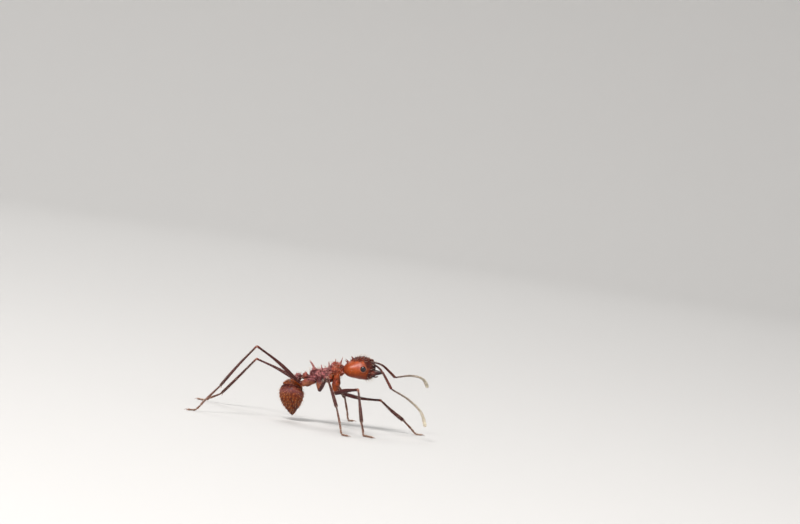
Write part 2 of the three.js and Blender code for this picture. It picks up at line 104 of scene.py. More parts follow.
# Each leg: its femur's radius, how far the middles of its femur and tibia stand above a straight line, and
# its joints from the hip to the toe.
Leg = namedtuple("Leg", "side pair femur lift hip knee ankle touch toe")
LEGS = [
    Leg(RIGHT, FORE, 0.19, (0.08, 0.0), (1.86, 0.62, 2.68), (3.76, 3.8, 3.51), (4.39, 4.7, 1.04),
        (4.7, 4.95, 0.105), (5.36, 5.35, 0.075)),
    Leg(LEFT, FORE, 0.155, (-0.15, -0.06), (1.98, 0.62, 2.78), (5.65, 1.9, 2.5), (7.68, 2.9, 1.08),
        (8.85, 3.3, 0.105), (9.3, 3.5, 0.075)),
    Leg(RIGHT, MID, 0.17, (0.06, 0.05), (0.68, 0.74, 2.74), (1.19, 4.45, 4.18), (2.28, 6.3, 2.09),
        (3.02, 6.85, 0.105), (3.47, 7.25, 0.075)),
    Leg(LEFT, MID, 0.17, (0.06, 0.05), (0.68, 0.74, 2.74), (1.16, 4.45, 3.86), (2.68, 6.15, 1.96),
        (3.25, 6.85, 0.105), (3.6, 7.25, 0.075)),
    Leg(RIGHT, HIND, 0.15, (0.16, 0.1), (-0.86, 0.78, 3.06), (-4.75, 2.4, 5.68), (-7.12, 3.6, 2.18),
        (-8.75, 4.35, 0.105), (-9.3, 4.75, 0.075)),
    Leg(LEFT, HIND, 0.14, (0.12, -0.03), (-0.86, 0.78, 3.02), (-4.86, 3.3, 4.27), (-7.37, 5.35, 0.87),
        (-8.65, 6.0, 0.105), (-9.25, 6.38, 0.075)),
]
COXA_BELLY = 0.5  # where the coxa is fullest, as a share of the way to the hip
COXA_ROOT = 0.7  # the radius where it springs, as a share of its fullest
COXA_NECK = 0.68  # the radius of its end, as a share of its fullest
TIBIA_KNEE = 0.078  # the tibia's radius below the knee
HINGE_RADIUS = 0.104
RING_REACH, THIGH_START = 0.26, 0.16  # how far past the hip the trochanter ends and the femur begins
JOINT_LAP = 0.03  # how far the femur reaches past the knee
HINGE_REACH = 0.1  # how far before the knee its hinge begins
COMB_LENGTH, SPUR_LENGTH = 0.34, 0.2  # at the ankles of the fore legs and of the others
TARSOMERES = (0.0, 0.46, 0.63, 0.75, 0.85, 1.0)
TARSUS_RADIUS = 0.092
TARSUS_TAPER = 0.006  # how much thinner each of its joints is than the one before

# Each feeler: the bow and the elbow of its scape, and the bends and the tip of its funiculus.
Antenna = namedtuple("Antenna", "side bow elbow bends tip")
ANTENNA_SOCKET = (4.3, 0.32, 5.6)
ANTENNAE = [
    Antenna(RIGHT, (5.22, 0.95, 5.17), (6.34, 1.6, 3.78), [(7.78, 1.8, 3.17), (8.93, 1.8, 2.3)],
            (9.45, 1.75, 1.2)),
    Antenna(LEFT, (5.28, 1.05, 5.4), (6.5, 1.95, 4.5), [(7.8, 2.6, 4.78), (8.75, 3.25, 4.6)],
            (9.25, 3.9, 3.95)),
]
FUNICULUS_JOINTS = 10

# ---- small tools


def vec(values):
    return np.array(values, float)


def single(values):
    """The values in single precision."""
    return np.asarray(values, np.float32)


def length(v):
    return np.linalg.norm(v, axis=-1)


def unit(v):
    return v / np.maximum(length(v)[..., None], 1e-9)


def on_side(point, side):
    return vec(point) * (1, side, 1)


def in_head(points):
    """Points of the head's own frame, in the frame of the solids."""
    return HEAD_CENTRE + vec(points) @ HEAD_TURN.T


def of_head(points):
    """Points of the frame of the solids, in the head's own frame."""
    return (points - HEAD_CENTRE) @ HEAD_TURN


def around(count):
    """Even angles all the way round."""
    return np.linspace(0, FULL_TURN, count, endpoint=False)


def hump(x, middle, width):
    return np.exp(-(((x - middle) / width) ** 2))


def ramp(low, high, x):
    """Rises smoothly from 0 at low to 1 at high."""
    t = np.clip((x - low) / (high - low), 0, 1)
    return t * t * (3 - 2 * t)


def mixed(first, second, share):
    """Colours between two, one for each share."""
    return first + (vec(second) - first) * np.asarray(share)[..., None]


def layered(colour, *layers):
    """A colour with others laid over it in turn, each to its own share."""
    for over, share in layers:
        colour = mixed(colour, over, share)
    return colour


PRIMES = np.array([73856093, 19349663, 83492791])
SEED_PRIME, MIX_PRIME = 2654435761, 1274126177


def lattice(at, seed):
    """A fixed random value from -1 to 1 for each place of a whole-number grid."""
    bits = np.bitwise_xor.reduce(at * PRIMES, axis=1) ^ (seed * SEED_PRIME)
    bits = (bits ^ (bits >> 13)) * MIX_PRIME
    return ((bits ^ (bits >> 16)) & 0xFFFF) / 32767.5 - 1


def blended(base, f, read):
    """What read gives at the corners of each cell, blended by how far into the cell a point lies."""
    total = np.zeros(len(base))
    for corner in np.ndindex(2, 2, 2):
        total += read(base + corner) * np.prod(np.where(corner, f, 1 - f), axis=1)
    return total


def noise(points, size, seed):
    """Smooth random values from -1 to 1 that change over about size millimetres."""
    cell = points / size
    base = np.floor(cell).astype(np.int64)
    return blended(base, ramp(0, 1, cell - base), lambda at: lattice(at, seed))


def cell_edges(points, size, seed, scatter=0.42):
    """How far each point lies from the edges between random cells about size millimetres across."""
    cell = points / size
    base = np.floor(cell).astype(np.int64)
    nearest = np.full(len(points), FAR)
    second = np.full(len(points), FAR)
    for shift in np.ndindex(3, 3, 3):
        at = base + shift - 1
        heart = at + 0.5 + scatter * np.stack([lattice(at, seed + i) for i in range(3)], 1)
        away = length(cell - heart)
        second = np.minimum(second, np.maximum(nearest, away))
        nearest = np.minimum(nearest, away)
    return second - nearest


def smooth_path(points, count=60, fineness=40):
    """A centripetal Catmull-Rom curve through the points, in even steps."""
    knots = [vec(p) for p in points]
    knots = [2 * knots[0] - knots[1], *knots, 2 * knots[-1] - knots[-2]]
    fine = []
    for four in zip(knots, knots[1:], knots[2:], knots[3:]):
        when = np.cumsum([0, *(math.sqrt(np.linalg.norm(b - a)) for a, b in zip(four, four[1:]))])
        t = np.linspace(when[1], when[2], fineness, endpoint=False)[:, None]

        def between(a, b, first, last):
            start, end = when[first], when[last]
            return (end - t) / (end - start) * a + (t - start) / (end - start) * b

        legs = [between(four[i], four[i + 1], i, i + 1) for i in range(3)]
        fine.append(between(between(*legs[:2], 0, 2), between(*legs[1:], 1, 3), 1, 2))
    fine = np.vstack([*fine, knots[-2]])
    along = np.cumsum([0, *length(np.diff(fine, axis=0))])
    even = np.linspace(0, along[-1], count)
    return np.stack([np.interp(even, along, fine[:, i]) for i in range(3)], 1)


def bowed(start, end, bow=STRAIGHT, count=70):
    """A path whose middle stands off by bow."""
    return smooth_path([start, (vec(start) + end) / 2 + bow, end], count)


# ---- distance fields and their surface


def soft_min(a, b, blend):
    lap = np.maximum(blend - np.abs(a - b), 0) / blend
    return np.minimum(a, b) - lap * lap * blend / 4


class Field:
    """A signed distance on a regular grid, negative inside the body."""

    MARGIN = 0.1  # how far round a shape its distance is worked out, past the blend

    def __init__(self, low, high, step=0.017):
        self.low, self.step = vec(low), step
        self.value = np.full(np.ceil((vec(high) - low) / step).astype(int) + 1, FAR, np.float32)

    def near(self, shape, margin):
        """The part of the grid round a shape, and the shape's distance at each of its points."""
        low, high, distance = shape
        first = np.clip(np.floor((low - margin - self.low) / self.step).astype(int), 0, self.value.shape)
        last = np.clip(np.ceil((high + margin - self.low) / self.step).astype(int) + 1, 0, self.value.shape)
        axes = [single(self.low[i] + self.step * np.arange(first[i], last[i])) for i in range(3)]
        return tuple(map(slice, first, last)), distance(np.stack(np.meshgrid(*axes, indexing="ij"), -1))

    def fill(self, distance):
        """Sets the whole grid from one distance."""
        everywhere = self.low + self.step * np.array(self.value.shape)
        self.value[:] = self.near((self.low, everywhere, distance), 0)[1]

    def join(self, shape, blend=0.06):
        part, away = self.near(shape, blend + self.MARGIN)
        self.value[part] = soft_min(self.value[part], away, blend)

    def carve(self, shape, blend):
        part, away = self.near(shape, blend + self.MARGIN)
        self.value[part] = -soft_min(-self.value[part], away, blend)

    def groove(self, shape, width, depth):
        """Sinks a line where the body's surface crosses the shape's surface."""
        part, away = self.near(shape, 3 * width)
        self.value[part] += depth * hump(away, 0, width)

    def sample(self, points):
        """The distance at any places, read between the grid's points."""
        cell = (points - self.low) / self.step
        base = np.clip(np.floor(cell).astype(int), 0, np.array(self.value.shape) - 2)
        return blended(base, np.clip(cell - base, 0, 1), lambda at: self.value[tuple(at.T)])


def ellipsoid(centre, radii, turn=np.eye(3)):
    centre, radii = vec(centre), vec(radii)
    reach = np.abs(turn) @ radii
    middle, size, square, way = map(single, (centre, radii, radii**2, turn))

    def distance(points):
        local = (points - middle) @ way
        near = length(local / size)
        return near * (near - 1) / np.maximum(length(local / square), 1e-4)

    return centre - reach, centre + reach, distance


def head_ellipsoid(centre, radii):
    return ellipsoid(in_head(centre), radii, HEAD_TURN)


def cone(start, end, start_radius, end_radius):
    """A rod with round ends that narrows from one radius to the other."""
    start, end = vec(start), vec(end)
    way = end - start
    widest = max(start_radius, end_radius)

    def distance(points):
        away = points - single(start)
        share = np.clip(away @ single(way) / (way @ way), 0, 1)
        off = length(away - share[..., None] * single(way))
        return off - (start_radius + (end_radius - start_radius) * share)

    return np.minimum(start, end) - widest, np.maximum(start, end) + widest, distance


def plane(point, normal, low, high):
    """A flat sheet through the point, reaching from one corner to the other."""
    point, normal = vec(point), unit(vec(normal))
    return vec(low), vec(high), lambda points: (points - point) @ normal


def add_spine(field, root, tip, radius, bow):
    """A tapered spine whose middle stands off by bow, and whose root flares into the body."""
    path = bowed(root, tip, bow, SPINE_STEPS)
    widths = radius * (1 - np.linspace(0, SPINE_TAPER, SPINE_STEPS))
    for number, (a, b, wide, narrow) in enumerate(zip(path, path[1:], widths, widths[1:])):
        field.join(cone(a, b, wide, narrow), SPINE_FLARE if number < SPINE_STEPS // 4 else SPINE_BLEND)


Shell = namedtuple("Shell", "points faces normals cavity bulk")


def net_points(field, cells):
    """The middle of the crossings of the zero level with the edges of each cell."""
    total = np.zeros((len(cells), 3))
    count = np.zeros(len(cells))
    for step in np.eye(3, dtype=int):
        for corner in np.ndindex(2, 2, 2):
            if step @ corner:
                continue
            a = field.value[tuple((cells + corner).T)]
            b = field.value[tuple((cells + corner + step).T)]
            crosses = (a < 0) != (b < 0)
            share = np.where(crosses, a / np.where(crosses, a - b, 1), 0)
            total += np.where(crosses[:, None], np.array(corner) + share[:, None] * step, 0)
            count += crosses
    return field.low + field.step * (cells + total / count[:, None])


def net_faces(inside, index):
    """A quad across each edge of the grid that leaves the body, facing out."""
    faces = []
    for axis in range(3):
        one, two = np.eye(3, dtype=int)[[(axis + 1) % 3, (axis + 2) % 3]]
        first = np.take(inside, range(inside.shape[axis] - 1), axis)
        second = np.take(inside, range(1, inside.shape[axis]), axis)
        edges = np.argwhere(first != second)
        outward = first[tuple(edges.T)]
        quads = np.stack([index[tuple((edges - shift).T)] for shift in (one + two, two, 0 * one, one)], 1)
        faces.append(np.where(outward[:, None], quads, quads[:, ::-1]))
    return np.vstack(faces)


def relaxed(points, faces):
    """Each point half way to the middle of its neighbours."""
    near = np.zeros_like(points)
    ties = np.zeros(len(points))
    for a, b in ((0, 1), (1, 2), (2, 3), (3, 0)):
        for here, there in ((faces[:, a], faces[:, b]), (faces[:, b], faces[:, a])):
            ties += np.bincount(here, minlength=len(points))
            for i in range(3):
                near[:, i] += np.bincount(here, points[there, i], len(points))
    return points + 0.5 * (near / ties[:, None] - points)


def surface(field, smoothing=2, probe=0.14):
    """The zero level of a field as quads, 1 in cavity where it is hollow, 0 in bulk where it is thin."""
    inside = field.value < 0
    ends = [slice(0, -1), slice(1, None)]
    corners = [inside[ends[i], ends[j], ends[k]] for i, j, k in np.ndindex(2, 2, 2)]
    active = np.logical_or.reduce(corners) & ~np.logical_and.reduce(corners)
    cells = np.argwhere(active)
    index = np.full(active.shape, -1, np.int32)
    index[active] = np.arange(len(cells))
    points, faces = net_points(field, cells), net_faces(inside, index)
    for _ in range(smoothing):
        points = relaxed(points, faces)
    reach = 2 * field.step * np.eye(3)
    normals = unit(np.stack([field.sample(points + e) - field.sample(points - e) for e in reach], 1))
    cavity = np.clip(1 - field.sample(points + probe * normals) / probe, 0, 1)
    bulk = ramp(0.02, 0.9, -field.sample(points - probe * normals) / probe)
    return Shell(points, faces, normals, cavity, bulk)


# ---- tubes for legs and feelers


def tube_faces(rings, sides):
    """The quads of a tube's wall and the two faces that close it, all facing out."""
    ring = np.arange(rings - 1)[:, None] * sides
    side = np.arange(sides)
    after = (side + 1) % sides
    wall = [ring + side, ring + after, ring + sides + after, ring + sides + side]
    return np.stack(wall, -1).reshape(-1, 4), np.stack([side[::-1], (rings - 1) * sides + side])


class Tube:
    """A closed tube along a path. radius gives its radius at shares of the length, from 0 to 1."""

    def __init__(self, path, radius, sides=20, flatten=1.0):
        self.path, self.sides, self.flatten = path, sides, flatten
        share = np.linspace(0, 1, len(path))
        self.radii = (radius(share) * self.round_ends(share, radius(np.array([0.5]))[0]))[:, None]
        self.tangents = unit(np.gradient(path, axis=0))
        normal = unit(np.cross(self.tangents[0], (0, 0, 1.0)) + 1e-6)
        normals = []
        for tangent in self.tangents:
            normal = unit(normal - tangent * (normal @ tangent))
            normals.append(normal)
        self.normals = np.array(normals)
        self.binormals = np.cross(self.tangents, self.normals)

    def round_ends(self, share, radius):
        """A factor that rounds the tube off over about a radius at each end."""
        whole = length(np.diff(self.path, axis=0)).sum()
        toward = np.clip(np.minimum(share, 1 - share) * whole / (0.8 * radius), 0.02, 1)
        return np.sqrt(1 - (1 - toward) ** 2)

    def at(self, share, angle):
        """Places on the surface, with the outward normal and the way along the tube."""
        where = np.asarray(share) * (len(self.path) - 1)
        ring = np.clip(np.floor(where).astype(int), 0, len(self.path) - 2)
        f = (where - ring)[:, None]
        centre, across, up, along, radius = (
            a[ring] * (1 - f) + a[ring + 1] * f
            for a in (self.path, self.normals, self.binormals, self.tangents, self.radii)
        )
        outward = np.cos(angle)[:, None] * across * self.flatten + np.sin(angle)[:, None] * up
        return centre + radius * outward, unit(outward), unit(along)

    def mesh(self):
        """The points, faces and normals, and how far along each point lies."""
        rings = len(self.path)
        share = np.repeat(np.linspace(0, 1, rings), self.sides)
        points, normals, _ = self.at(share, np.tile(around(self.sides), rings))
        wall, caps = tube_faces(rings, self.sides)
        return points, wall.tolist() + caps.tolist(), normals, share


# ---- head


def head_masses(field):
    """The capsule of the head: two lobes behind, full cheeks, and the plate between the mandibles."""
    field.join(head_ellipsoid((0.16, 0, 0.03), (1.1, 1.1, 0.91)))
    for side in BOTH:
        field.join(head_ellipsoid((-0.54, 0.52 * side, -0.12), (0.73, 0.62, 0.6)), 0.3)
        field.join(head_ellipsoid((0.64, 0.34 * side, -0.16), (0.56, 0.48, 0.68)), 0.25)
    clypeus = head_ellipsoid((1.0, 0, 0.2), (0.3, 0.36, 0.4))
    field.join(clypeus, 0.08)
    field.groove(clypeus, 0.025, 0.03)
    field.join(cone(in_head((-0.8, 0, -0.16)), in_head((-1.5, 0, -0.22)), 0.3, 0.24), 0.1)


def head_ridges(field, side):
    """The lobes over the feelers' roots, the ridges that run back from them, and the cheek's ridge."""
    field.join(head_ellipsoid((0.82, 0.22 * side, 0.68), (0.3, 0.13, 0.13)), 0.1)
    for start, end, wide, narrow in (
        ((0.6, 0.28, 0.8), (0.26, 0.42, 0.88), 0.07, 0.05),
        ((0.26, 0.42, 0.88), (-0.12, 0.6, 0.78), 0.05, 0.025),
        ((1.04, 0.62, 0.24), (0.5, 0.93, 0.3), 0.05, 0.025),
    ):
        field.join(cone(in_head(on_side(start, side)), in_head(on_side(end, side)), wide, narrow), 0.08)


def head_sockets(field, side):
    """The pits of the feeler and the mandible, and the rim round the eye."""
    field.carve(head_ellipsoid((0.84, 0.4 * side, 0.62), (0.17, 0.14, 0.14)), 0.06)
    field.join(head_ellipsoid((0.82, 0.36 * side, 0.54), (0.1, 0.1, 0.1)), 0.03)
    field.carve(head_ellipsoid((1.16, 0.6 * side, -0.28), (0.2, 0.27, 0.26)), 0.05)
    place, (long, _, tall) = on_side(EYE_PLACE, side), EYE_RADII
    field.join(head_ellipsoid(place * (1, 1.01, 1), (long + 0.07, 0.07, tall + 0.07)), 0.06)
    field.carve(head_ellipsoid(place * (1, 1.1, 1), (long + 0.012, 0.1, tall + 0.012)), 0.02)


def head_seam(field, low, high, width, depth):
    """A seam along the middle of the head, between two corners given in its own frame."""
    field.groove(plane(HEAD_CENTRE, (0, 1, 0), in_head(low), in_head(high)), width, depth)


def head_underside(field):
    """The seam along the throat, and the folded mouthparts."""
    head_seam(field, (-1.3, -0.1, -1.1), (1.0, 0.1, -0.5), 0.02, 0.04)
    field.join(head_ellipsoid((1.02, 0, -0.46), (0.3, 0.26, 0.22)), 0.04)
    field.join(head_ellipsoid((1.2, 0, -0.3), (0.1, 0.2, 0.22)), 0.03)
    for side in BOTH:
        field.join(head_ellipsoid((1.06, 0.2 * side, -0.5), (0.24, 0.1, 0.16)), 0.03)


def head_shell():
    field = Field(HEAD_CENTRE - (1.75, 1.45, 1.25), HEAD_CENTRE + (1.7, 1.45, 1.35))
    head_masses(field)
    head_underside(field)
    head_seam(field, (-1.0, -0.1, 0.4), (0.4, 0.1, 1.1), 0.03, 0.025)
    for side in BOTH:
        head_ridges(field, side)
        head_sockets(field, side)
        for root, tip, radius in HEAD_SPINES:
            ends = in_head(on_side(root, side)), in_head(on_side(tip, side))
            add_spine(field, *ends, radius, HEAD_SPINE_BOW)
    return surface(field)


# ---- thorax, coxae and waist

# Ellipsoids as middle, radii and blend: the pronotum, its collar, the mesonotum and its hump, the propodeum.
TRUNK_MASSES = [
    ((1.72, 0, 4.56), (0.6, 0.66, 0.58), 0.06),
    ((2.18, 0, 4.58), (0.26, 0.4, 0.38), 0.15),
    ((1.05, 0, 4.08), (0.6, 0.48, 0.42), 0.14),
    ((0.98, 0, 4.4), (0.36, 0.36, 0.14), 0.1),
    ((0.2, 0, 3.94), (0.5, 0.44, 0.47), 0.16),
]
# And on each flank: the plates above the middle and the hind coxa, the swelling between them, the spiracle.
FLANK_MASSES = [
    ((1.2, 0.26, 3.9), (0.48, 0.27, 0.42), 0.1),
    ((0.22, 0.26, 3.66), (0.4, 0.23, 0.24), 0.08),
    ((0.62, 0.34, 4.06), (0.16, 0.14, 0.26), 0.05),
    ((-0.06, 0.36, 4.04), (0.08, 0.1, 0.08), 0.05),
]
# The grooves between the plates: a point and the normal of each, the corners it reaches, and its depth.
TRUNK_SEAMS = [
    ((1.42, 0, 4.4), (1, 0, 0.42), (0.9, -1, 3.5), (1.9, 1, 5.4), 0.07),
    ((0.56, 0, 4.4), (1, 0, 0.1), (0.3, -1, 3.3), (0.9, 1, 4.8), 0.1),
    ((0.66, 0, 3.7), (0.8, 0, -0.6), (0.1, -1, 3.3), (1.1, 1, 4.3), 0.06),
    ((1.2, 0, 4.12), (0.25, 0, 1), (0.7, -1, 3.8), (1.6, 1, 4.4), 0.045),
    ((2.02, 0, 4.5), (1, 0, -0.25), (1.8, -1, 3.9), (2.3, 1, 5.2), 0.035),
    ((0.2, 0, 3.84), (0.1, 0, 1), (-0.3, -1, 3.7), (0.5, 1, 4.0), 0.03),
]
WAIST_SEAM = ((-0.9, 0, 3.6), (1, 0, 0.1), (-1.1, -0.6, 3.1), (-0.7, 0.6, 4.1), 0.05)
SEAM_WIDTH = 0.04


def trunk_masses(field):
    for centre, radii, blend in TRUNK_MASSES:
        field.join(ellipsoid(centre, radii), blend)
    for side in BOTH:
        for centre, radii, blend in FLANK_MASSES:
            field.join(ellipsoid(on_side(centre, side), radii), blend)
        field.carve(ellipsoid((-0.07, 0.48 * side, 4.05), (0.035, 0.07, 0.035)), 0.02)
    for *sheet, depth in TRUNK_SEAMS:
        field.groove(plane(*sheet), SEAM_WIDTH, depth)


def waist_masses(field):
    """The petiole, the postpetiole and the stalks that join them to the thorax and the gaster."""
    field.join(cone((0, 0, 3.68), (-0.62, 0, 3.66), 0.17, 0.13), 0.1)
    field.join(ellipsoid((-0.64, 0, 3.71), (0.21, 0.28, 0.24)), 0.1)
    field.join(cone((-0.6, 0, 3.62), (-1.2, 0, 3.52), 0.13, 0.15), 0.06)
    field.join(ellipsoid((-1.18, 0, 3.51), (0.28, 0.44, 0.29)), 0.08)
    *sheet, depth = WAIST_SEAM
    field.groove(plane(*sheet), SEAM_WIDTH, depth)
    field.join(cone((-1.2, 0, 3.45), (-1.66, 0, 3.2), 0.2, 0.18), 0.08)


def coxa_end(leg):
    """The middle of the coxa's round end, which touches the hip."""
    root, hip = on_side(leg.pair.root, leg.side), on_side(leg.hip, leg.side)
    return hip - unit(hip - root) * leg.pair.coxa * COXA_NECK


def add_coxa(field, leg):
    root, full = on_side(leg.pair.root, leg.side), leg.pair.coxa
    belly = root + (on_side(leg.hip, leg.side) - root) * COXA_BELLY
    field.join(cone(root, belly, full * COXA_ROOT, full), 0.04)
    field.join(cone(belly, coxa_end(leg), full, full * COXA_NECK), 0.04)


def trunk_shell():
    field = Field((-2.0, -1.25, 2.5), (2.85, 1.25, 5.75))
    trunk_masses(field)
    waist_masses(field)
    for leg in LEGS:
        add_coxa(field, leg)
    for root, tip, radius, bow in TRUNK_SPINES:
        for side in BOTH:
            add_spine(field, on_side(root, side), on_side(tip, side), radius, on_side(bow, side))
    return surface(field)


# ---- gaster

GASTER_LENGTH = np.linalg.norm(GASTER_TIP - GASTER_FRONT)
GASTER_AXIS = unit(GASTER_TIP - GASTER_FRONT)
GASTER_BELLY = np.cross(GASTER_AXIS, (0, 1.0, 0))  # towards its underside, which faces forwards


def along_gaster(points):
    """How far back places lie, as a share of the gaster's length."""
    return (points - GASTER_FRONT) @ GASTER_AXIS / GASTER_LENGTH


def past_collar(points):
    """How far places lie behind the furrow, as a share of the gaster's length."""
    belly = np.maximum((points - GASTER_FRONT) @ GASTER_BELLY, 0)
    return along_gaster(points) - GASTER_COLLAR - COLLAR_BEND * belly**2


def gaster_radius(share):
    """The gaster's radius along its axis. Each plate's hind edge stands over the next plate."""
    to_front = np.clip(share / GASTER_FULLEST, 0, 1)
    to_tip = np.clip((1 - share) / (1 - GASTER_FULLEST), 0, 1)
    round_front = np.sqrt(1 - (1 - to_front) ** 2)
    drop = np.where(share < GASTER_FULLEST, round_front, np.sin(to_tip * math.pi / 2) ** 0.95)
    edges = sum(
        0.02 * hump(share, edge - 0.012, 0.012) - 0.016 * hump(share, edge + 0.012, 0.014)
        for edge in PLATE_EDGES
    )
    return GASTER_RADIUS * drop + edges


def gaster_distance(points):
    away = points - GASTER_FRONT
    along = away @ GASTER_AXIS
    off = length(away - along[..., None] * GASTER_AXIS)
    share = np.clip(along / GASTER_LENGTH, 0, 1)
    inside = np.clip(share, 0.004, 0.996)
    slope = (gaster_radius(inside + 0.003) - gaster_radius(inside - 0.003)) / (0.006 * GASTER_LENGTH)
    near = (off - gaster_radius(inside)) / np.sqrt(1 + slope**2)
    beyond = np.hypot(off, along - share * GASTER_LENGTH)
    body = np.where((along > 0) & (along < GASTER_LENGTH), near, beyond)
    return body + 0.085 * hump(past_collar(points), 0, 0.032)


def gaster_shell():
    field = Field((-2.95, -1.25, 0.35), (-0.25, 1.25, 3.6))
    field.fill(gaster_distance)
    return surface(field)


# ---- sculpted skin


def scatter(shell, count, density, spacing, rng, draws=8):
    """Points of a shell drawn by density, no two nearer than spacing, from several draws for each."""
    weight = density(shell.points) * shell.bulk**2
    drawn = rng.choice(len(shell.points), draws * count, replace=False, p=weight / weight.sum())
    chosen = []
    for pick in drawn:
        if not chosen or length(shell.points[chosen] - shell.points[pick]).min() > spacing:
            chosen.append(pick)
        if len(chosen) == count:
            break
    return np.array(chosen)


def with_tubercles(shell, chosen, height, width, rng):
    """The shell with a small peak at each chosen point, and how much of a peak each of its points is."""
    peak = np.zeros(len(shell.points))
    for pick, tall in zip(chosen, rng.uniform(0.65, 1.15, len(chosen))):
        away = length(shell.points - shell.points[pick])
        peak = np.maximum(peak, tall * np.exp(-((away / width) ** 1.5)))
    return shell._replace(points=shell.points + shell.normals * (height * peak)[:, None]), peak


def with_network(shell, size, height, where, seed):
    """The shell with a fine net of raised, wavering ridges, and slow swellings under it."""
    waver = np.stack([noise(shell.points, 1.1 * size, seed + 5 + i) for i in range(3)], 1)
    ridge = 1 - ramp(0.0, 0.4, cell_edges(shell.points + 0.4 * size * waver, size, seed))
    lift = height * where * shell.bulk * (ridge + 0.8 * noise(shell.points, 3 * size, seed + 3))
    return shell._replace(points=shell.points + shell.normals * lift[:, None]), ridge * where


# ---- colours of the cuticle

AMBER = vec((0.35, 0.063, 0.009))
RUST = vec((0.15, 0.019, 0.006))
MAROON = vec((0.046, 0.009, 0.008))
PLUM = vec((0.07, 0.012, 0.015))
DUSK = vec((0.016, 0.005, 0.006))
ROSE = vec((0.4, 0.13, 0.13))
PALE = vec((0.6, 0.43, 0.33))
CREAM = vec((0.62, 0.56, 0.44))
TAN = vec((0.34, 0.11, 0.035))
GOLD = vec((0.58, 0.15, 0.012))
# painted shade for the gaster's furrow
FURROW_SHADE = vec((0.06, 0.004, 0.003))
CROWN = vec((0.04, 0.0045, 0.0035))


def with_painted_shade(colour, shell, ridge, variety, size, seed):
    """Painted shade, darker in hollows and in the troughs between ridges, and a slow change from place to
    place.
    """
    change = 1 + variety * (noise(shell.points, size, seed) + noise(shell.points, size / 3, seed + 1))
    # painted shade in hollows and troughs
    change *= (1 - 0.7 * shell.cavity**1.3) * (0.72 + 0.45 * ridge)
    return np.clip(colour * change[:, None], 0.003, 1)


def head_grain(shell):
    """1 on the rough crown and face, near 0 on the smooth cheeks."""
    x, y, z = of_head(shell.points).T
    ragged = 0.06 * noise(shell.points, 0.22, 3) + 0.04 * noise(shell.points, 0.09, 4)
    crown = ramp(0.5, 0.78, z + ragged)
    temple = ramp(0.92, 1.24, z + 1.5 * x + ragged)
    face = ramp(0.6, 0.88, x - 0.17 * z + ragged)
    return np.maximum(crown, np.maximum(np.minimum(temple, ramp(-0.1, 0.2, z)), face))


def head_colour(shell, rough, ridge, peak):
    x, y, z = of_head(shell.points).T
    from_eye = np.hypot(*((value - EYE_PLACE[i]) / EYE_RADII[i] for value, i in ((x, 0), (z, 2))))
    colour = layered(
        AMBER,
        (RUST, 0.8 * ramp(-0.25, -0.8, z)),  # the underside
        (RUST, 0.6 * ramp(-0.6, -1.1, x)),  # the nape
        (mixed(AMBER, ROSE, 0.8), 0.55 * hump(x, 0.0, 0.5) * hump(z, 0.24, 0.26)),  # a painted highlight over the eye
        (RUST, 0.6 * hump(rough, 0.5, 0.45)),  # the edge of the crown
        (CROWN, 0.92 * rough),
        (DUSK, 0.7 * ramp(0.85, 1.12, x)),  # the front
        (RUST, np.maximum(0.5 * peak * rough, 1 - shell.bulk)),  # tubercles and spines
        (mixed(AMBER, PALE, 0.4), 0.4 * hump(from_eye, 1.1, 0.08) * (np.abs(y) > 0.8)),  # a pale ring round the eye, a painted highlight on its rim
    )
    return with_painted_shade(colour, shell, 1 + (ridge - 0.6) * rough - 0.38, 0.09, 0.3, 5)


def trunk_grain(shell):
    """1 on the rough thorax and waist, a quarter on the smooth coxae."""
    x, _, z = shell.points.T
    ragged = 0.1 * noise(shell.points, 0.3, 14) + 0.07 * noise(shell.points, 0.11, 15)
    return 1 - 0.75 * ramp(3.68, 3.12, z + ragged) * ramp(-1.1, -0.8, x)


def trunk_colour(shell, rough, ridge, peak):
    x, _, z = shell.points.T
    patches = noise(shell.points, 0.34, 9) + 0.5 * noise(shell.points, 0.15, 10)
    crest = np.clip(ridge + 0.6 * peak, 0, 1)
    # Painted highlights: rose and amber on the crests of ridges and tubercles, the rose stronger higher up;
    # the amber also follows random patches.
    behind = mixed(PLUM, ROSE, 0.95 * crest**1.5 * ramp(-1.1, 0.5, patches + 0.9 * (z - 4.0)))
    before = mixed(RUST, AMBER, 0.55 * ramp(-0.6, 1.1, patches + 0.9 * crest))
    before = mixed(before, ROSE, 0.22 * crest * ramp(4.2, 4.6, z))
    coxae = mixed(mixed(TAN, ROSE, 0.2), mixed(AMBER, RUST, 0.35), ramp(0.8, 1.4, x))
    colour = layered(
        behind,
        (before, ramp(1.15, 1.5, x + 0.15 * patches)),
        (mixed(RUST, AMBER, 0.5), 0.6 * hump(x, -0.66, 0.2)),  # the petiole
        (coxae, 0.75 * ramp(0.9, 0.3, rough)),
        (MAROON, 0.5 * ramp(0.1, 0.9, noise(shell.points, 0.22, 13))),  # stains
        (mixed(ROSE, PALE, 0.3), 0.5 * (1 - shell.bulk) ** 2),  # paler spines, partly their own colour and partly a painted glint
    )
    return with_painted_shade(colour, shell, ridge, 0.16, 0.28, 11)


